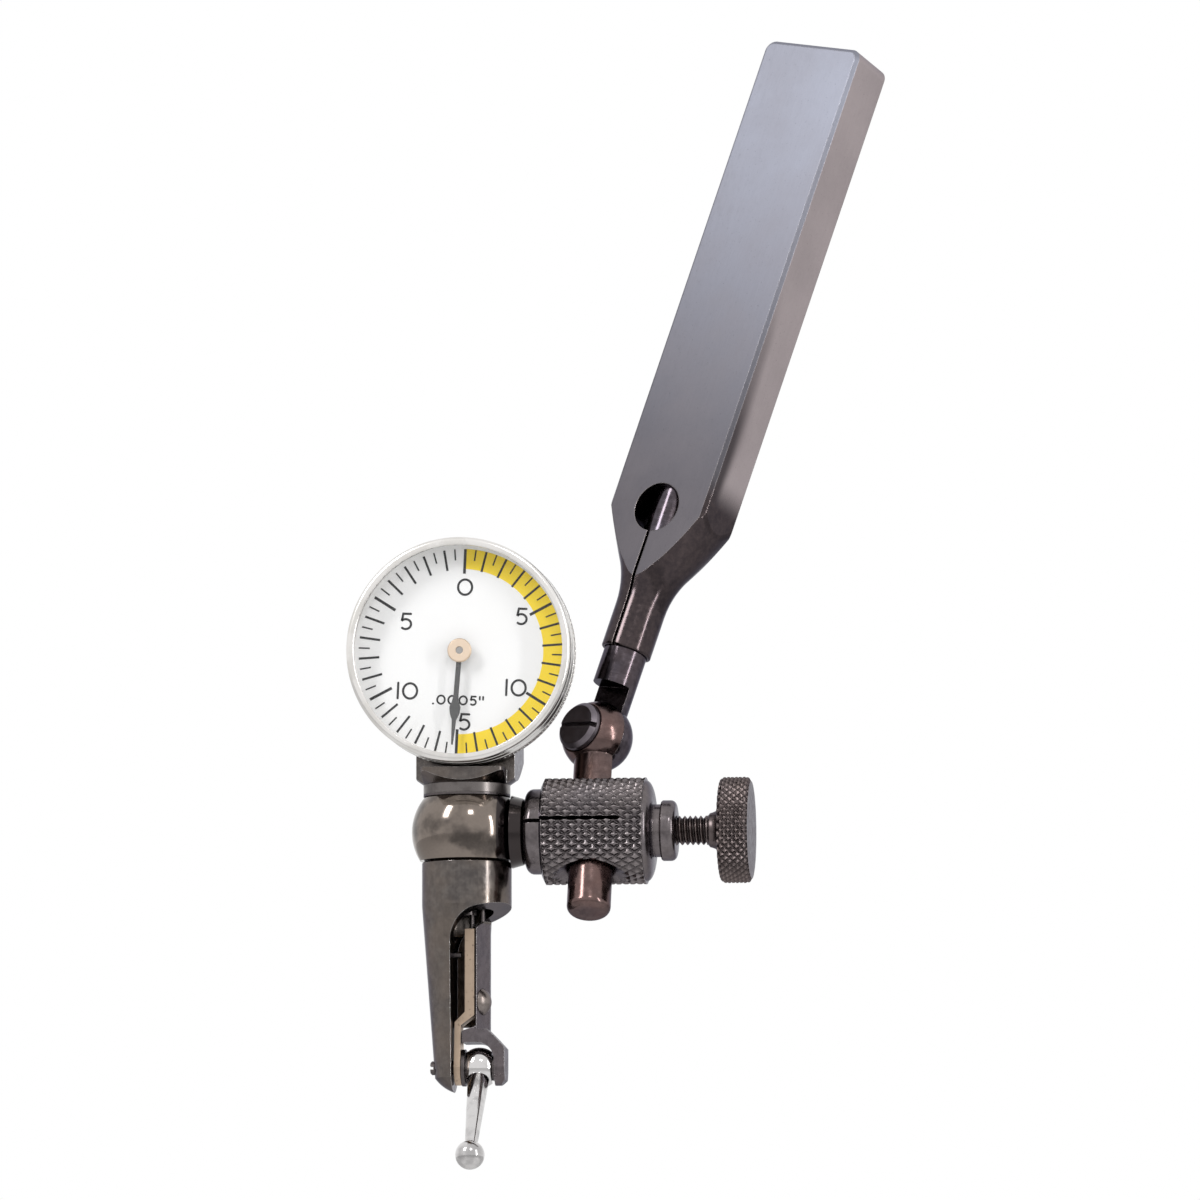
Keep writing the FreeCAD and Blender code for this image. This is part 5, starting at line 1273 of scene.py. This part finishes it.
@dataclass
class Dial:
    """Bezel, crystal, card with its print, and the pointer."""

    turn: float = math.radians(-2.6)
    divisions: int = 60
    mark_end: float = 11.1
    band: tuple[float, float] = (8.95, 11.12)
    ink: float = 0.012 * MM
    lip_radius: float = 11.3 * MM
    bore: float = 11.62 * MM
    lip: float = 0.4 * MM
    lip_bevel: float = 0.08 * MM
    lip_slope: float = 0.1 * MM
    edge: float = 0.45 * MM
    knurl_band: float = 1.7 * MM
    knurl_bevel: float = 0.15 * MM
    knurl_rows: int = 22
    rounds: int = 1200
    groove: float = 0.35 * MM
    groove_depth: float = 0.28 * MM
    waist: float = 0.16 * MM
    waist_places: tuple[float, ...] = (1.5 * MM, 1.65 * MM, 2.0 * MM, 2.15 * MM)
    belt: float = 0.02 * MM
    knurl: Knurl = Knurl(150, 0.62 * MM, 0.13 * MM, 0.2)
    numbered: tuple[tuple[str, float, float], ...] = (
        ("0", 1.2, 6.98), ("5", 58.0, 7.59), ("10", 121.3, 7.17), ("15", 176.8, 7.62),
        ("10", 231.6, 7.19), ("5", 296.7, 6.8),
    )
    number_pen: tuple[float, float, float] = (1.65, 0.24, 0.28)
    value_place: tuple[float, float] = (-0.06, -5.29)
    value_pen: tuple[float, float, float] = (0.9, 0.19, 0.42)
    centre: Vector = field(init=False)
    face: float = field(init=False)
    right: Vector = field(init=False)
    up: Vector = field(init=False)

    def __post_init__(self) -> None:
        """Find the card's face and its own directions."""
        self.centre = centre_of("bezel_turn")
        self.face = self.centre.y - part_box("dial_card")[0].y
        turned = Quaternion(FORWARD, self.turn)
        self.right = turned @ ACROSS
        self.up = turned @ UP

    def plate(
        self, name: str, outline: Sequence[Sequence[float]], lift: float = 0.0
    ) -> bpy.types.Object:
        """A printed shape on the card.

        Args:
            name: the object's name.
            outline: its corners, in millimetres from the dial's centre.
            lift: its height over the card, in metres.

        Returns:
            The plate.
        """
        corners = [(x * MM, y * MM) for x, y in outline]
        axes = (self.right, self.up, FORWARD)
        low = self.face + lift
        return prism(name, corners, self.centre, axes, low, low + self.ink)

    def marks(self) -> bpy.types.Object:
        """The sixty divisions.

        Returns:
            One object with all of them.
        """
        pieces = []
        for number in range(self.divisions):
            kind = Mark.SHORT if number % 2 else Mark.LONG
            kind = kind if number % 10 else Mark.NUMBERED
            inner, width = kind.value
            angle = 2 * math.pi * number / self.divisions
            out = Vector((math.sin(angle), math.cos(angle)))
            side = Vector((out.y, -out.x)) * width / 2
            corners = [
                out * inner - side, out * inner + side,
                out * self.mark_end + side, out * self.mark_end - side,
            ]
            pieces.append(self.plate("mark", corners, self.ink))
        return join("dial_marks", pieces)

    def yellow_band(self) -> bpy.types.Object:
        """The band along the right half of the scale.

        Returns:
            The band.
        """
        inner, outer = self.band
        angles = np.linspace(0, math.pi, 91)
        corners = [(outer * math.sin(a), outer * math.cos(a)) for a in angles]
        corners += [(inner * math.sin(a), inner * math.cos(a)) for a in angles[::-1]]
        return self.plate("dial_band", corners)

    def numbers(self) -> bpy.types.Object:
        """The numbers, upright, drawn with a round pen.

        Returns:
            One object with all of them.
        """
        pieces = []
        for text, degrees, radius in self.numbered:
            angle = math.radians(degrees)
            middle = Vector((math.sin(angle), math.cos(angle))) * radius
            pieces += self.write(text, middle, *self.number_pen)
        pieces += self.write('.0005"', Vector(self.value_place), *self.value_pen)
        return join("dial_numbers", pieces)

    def write(
        self, text: str, middle: Vector, height: float, pen: float, gap: float
    ) -> list[bpy.types.Object]:
        """Digits side by side.

        Args:
            text: the digits.
            middle: the middle of the line of digits, in millimetres.
            height: their height.
            pen: the pen's width.
            gap: the space between digits, as a share of their height.

        Returns:
            One plate for each stretch of a stroke.
        """
        widths = {"0": 0.92, "1": 0.12, "5": 0.66, ".": 0.12, '"': 0.46}
        whole = sum(widths[digit] for digit in text) + gap * (len(text) - 1)
        across = -whole / 2
        pieces = []
        for digit in text:
            width = widths[digit]
            for stroke in self.strokes(digit, width):
                line = [
                    (middle.x + (across + x) * height, middle.y + (y - 0.5) * height)
                    for x, y in stroke
                ]
                pieces.append(self.ribbon(line, pen))
            across += width + gap
        return pieces

    @staticmethod
    def strokes(digit: str, width: float) -> list[list[tuple[float, float]]]:
        """Strokes of a digit whose height is 1.

        Args:
            digit: the digit.
            width: its width.

        Returns:
            Lines of points.
        """
        half = width / 2
        if digit == "0":
            turn = np.linspace(0, 2 * math.pi, 41)
            return [[(half + half * math.sin(a), 0.5 + 0.5 * math.cos(a)) for a in turn]]
        if digit == "1":
            return [[(half, 0.0), (half, 1.0)]]
        if digit == '"':
            return [[(0.03, 0.66), (0.03, 1.0)], [(0.43, 0.66), (0.43, 1.0)]]
        if digit == ".":
            return [[(half - 0.02, 0.0), (half + 0.02, 0.0)]]
        bowl = np.linspace(math.radians(148), math.radians(-128), 26)
        middle = (0.30, 0.32)
        round_part = [
            (middle[0] + 0.355 * math.cos(a), middle[1] + 0.325 * math.sin(a)) for a in bowl
        ]
        return [[(width * 0.93, 1.0), (0.12, 1.0), (0.04, 0.53), *round_part[1:]]]

    def ribbon(self, line: Sequence[tuple[float, float]], pen: float) -> bpy.types.Object:
        """A stroke of a round pen as one plate with mitred corners.

        Args:
            line: the points of the stroke, in millimetres.
            pen: its width.

        Returns:
            The plate.
        """
        points = [Vector(p) for p in line]
        ring = (points[0] - points[-1]).length < 1e-6
        if ring:
            points = points[:-1]
        count = len(points)
        left, right = [], []
        for here, point in enumerate(points):
            before = points[here - 1] if here or ring else point
            after = points[(here + 1) % count] if here < count - 1 or ring else point
            way = (after - before).normalized()
            side = Vector((-way.y, way.x)) * pen / 2
            if 0 < here < count - 1 or ring:
                way_in = (point - before).normalized()
                lean = max(0.5, abs(way_in.dot(way)))
                side = side / lean
            left.append(point + side)
            right.append(point - side)
        quads = []
        for here in range(count if ring else count - 1):
            there = (here + 1) % count
            quads.append([left[here], left[there], right[there], right[here]])
        if not ring:
            for end, near in ((0, 1), (count - 1, count - 2)):
                way = (points[end] - points[near]).normalized()
                side = Vector((-way.y, way.x))
                fan = [
                    points[end] + (side * math.cos(a) + way * math.sin(a)) * pen / 2
                    for a in np.linspace(0, math.pi, 9)
                ]
                quads.append(fan)
        plates = [self.plate("stroke", quad, self.ink) for quad in quads]
        return tidy(join("stroke", plates))

    def bezel(self) -> bpy.types.Object:
        """Turn the bezel with its rounded front and knurled back.

        Returns:
            The bezel.
        """
        low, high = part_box("bezel")
        lathe = Lathe(self.centre, FORWARD, ACROSS)
        front = self.centre.y - low.y
        back = self.centre.y - high.y
        radius = (high.x - low.x) / 2
        band = back + self.knurl_band
        waist = radius - self.waist
        belt = radius - self.belt
        outline = [
            Station(front - self.lip_bevel, self.lip_radius),
            Station(front, self.lip_radius + self.lip_slope),
            *arc(
                (front - self.edge, radius - self.edge), (self.edge, self.edge),
                (RIGHT_ANGLE, 0), 9,
            ),
            *[
                Station(front - behind, size)
                for behind, size in zip(self.waist_places, (radius, waist, waist, belt))
            ],
            Station(band + self.groove, belt),
            Station(band + self.groove / 2, radius - self.groove_depth),
            Station(band, radius - self.knurl_bevel),
            Station(band - self.knurl_bevel / 3, radius),
            Station(back + self.knurl_bevel, radius, self.knurl_rows, self.knurl),
            Station(back, radius - self.knurl_bevel),
            Station(back, self.bore),
            Station(front - self.lip, self.bore),
            Station(front - self.lip, self.lip_radius),
        ]
        return lathe.turn("bezel_ring_knurled", outline, self.rounds)

    def build(self) -> None:
        """Build and dress the dial."""
        ink = Print("scale_ink", (0.018, 0.018, 0.02), (0.03, 0.03, 0.032), 0.45).make()
        yellow = Print("scale_yellow", (0.98, 0.74, 0.045), (0.93, 0.67, 0.03), 0.45).make()
        card = Print("card_enamel", (0.93, 0.93, 0.93), (0.90, 0.90, 0.90), 0.42, 0.15).make()
        bright = Polished("bezel_metal", (0.80, 0.78, 0.76), (0.68, 0.66, 0.63), 0.2, 0.06).make()
        case = Polished("case_metal", (0.47, 0.47, 0.48), (0.42, 0.42, 0.43), 0.34, 0.03).make()
        place_piece(dress(self.marks(), ink), "bezel_ring")
        place_piece(dress(self.numbers(), ink), "bezel_ring")
        place_piece(dress(self.yellow_band(), yellow), "bezel_ring")
        place_piece(dress(self.bezel(), bright), "bezel_ring", ["bezel"])
        dress_nodes(card, "dial_card")
        dress_nodes(Crystal("crystal_glass").make(), "crystal")
        dress_nodes(case, "dial_case")
        pointer = Print("pointer_dark", (0.10, 0.10, 0.10), (0.06, 0.06, 0.062), 0.35, 0.3)
        dress_nodes(pointer.make(), "pointer")
        hub = Brass("hub_brass", (0.86, 0.72, 0.58), (0.80, 0.62, 0.47), 0.05, 0.36)
        dress_nodes(hub.make(), "pointer_hub")


# Studio


@dataclass(frozen=True)
class Softbox:
    """A rectangular lamp that faces the object."""

    name: str
    direction: Place
    distance: float
    width: float
    height: float
    radiance: float

    def build(self, aim: Vector) -> None:
        """Hang the lamp.

        Args:
            aim: the point it faces.
        """
        lamp = bpy.data.lights.new(self.name, "AREA")
        lamp.shape = "RECTANGLE"
        lamp.size = self.width
        lamp.size_y = self.height
        lamp.energy = self.radiance * math.pi * self.width * self.height
        made = bpy.data.objects.new(self.name, lamp)
        away = Vector(self.direction).normalized()
        made.location = aim + away * self.distance
        made.rotation_euler = away.to_track_quat("Z", "Y").to_euler()
        made.visible_camera = False
        bpy.context.scene.collection.objects.link(made)


@dataclass(frozen=True)
class Studio:
    """Camera, lamps, white surroundings and a pale floor."""

    distance: float = 1.6
    frame_width: float = 129.7 * MM
    sensor: float = 36.0
    azimuth: float = math.radians(6.3)
    elevation: float = math.radians(-6.0)
    aim_right: float = 14.38 * MM
    aim_up: float = 25.14 * MM
    clip: tuple[float, float] = (0.01, 20.0)
    floor_drop: float = 120 * MM
    floor_half: float = 1.5
    sky: float = 0.70
    lamps: tuple[Softbox, ...] = (
        Softbox("key", (-0.58, -0.60, 0.55), 0.38, 0.07, 0.16, 14.0),
        Softbox("strip", (0.84, -0.52, 0.12), 0.36, 0.025, 0.24, 18.0),
        Softbox("spark", (0.18, -0.80, 0.57), 0.36, 0.05, 0.05, 20.0),
    )

    def camera(self) -> None:
        """Stand the camera where the photograph was taken from."""
        back = Vector((
            math.sin(self.azimuth) * math.cos(self.elevation),
            -math.cos(self.azimuth) * math.cos(self.elevation),
            math.sin(self.elevation),
        ))
        turn = back.to_track_quat("Z", "Y")
        right = turn @ ACROSS
        up = turn @ Vector((0, 1, 0))
        aim = centre_of("body_swivel") + right * self.aim_right + up * self.aim_up
        lens = bpy.data.cameras.new("camera")
        lens.sensor_width = self.sensor
        lens.lens = self.sensor * self.distance / self.frame_width
        lens.clip_start, lens.clip_end = self.clip
        made = bpy.data.objects.new("camera", lens)
        made.rotation_mode = "QUATERNION"
        made.rotation_quaternion = turn
        made.location = aim + back * self.distance
        bpy.context.scene.collection.objects.link(made)
        bpy.context.scene.camera = made

    def world(self) -> None:
        """White for what looks past the object, softer for what lights it."""
        world = bpy.data.worlds.new("surroundings")
        bpy.context.scene.world = world
        world.use_nodes = True
        web = Web(world.node_tree)
        rays = web.node("ShaderNodeLightPath", {}, {})
        seen = [Shade(web, rays.outputs[n]) for n in (
            "Is Camera Ray", "Is Glossy Ray", "Is Transmission Ray",
        )]
        direct = (seen[0] + seen[1] + seen[2]).step(0.0, 1.0)
        light = web.node("ShaderNodeBackground", {}, {
            "Color": (1, 1, 1, 1), "Strength": self.sky + direct * (1 - self.sky),
        })
        web.node("ShaderNodeOutputWorld", {}, {0: light.outputs[0]})

    def floor(self) -> None:
        """Lay a pale floor under the object."""
        low = CAD_BOX[0].z - self.floor_drop
        size = self.floor_half
        corners = [(-size, -size), (size, -size), (size, size), (-size, size)]
        made = new_mesh("floor", [(x, y, low) for x, y in corners], [[0, 1, 2, 3]])
        material, web = new_material("floor")
        tone = web.mix(web.noise(web.place(), 9, 4.0), (0.90, 0.90, 0.90), (0.86, 0.86, 0.86))
        surface(web, {"Base Color": tone, "Roughness": 0.8})
        dress(made, material)

    def build(self) -> None:
        """Set the studio up."""
        self.camera()
        self.world()
        self.floor()
        for lamp in self.lamps:
            lamp.build((CAD_BOX[0] + CAD_BOX[1]) / 2)
        bpy.context.scene.view_settings.view_transform = "Standard"


def main() -> None:
    """Build every sub-assembly in its place, then the studio."""
    logging.basicConfig(level=logging.INFO, format="%(name)s: %(message)s")
    for assembly in (Shank(), Clamp(), Head(), LeverWork(), Dial(), Studio()):
        LOG.info("building %s", type(assembly).__name__)
        assembly.build()


if __name__ == "__main__":
    main()
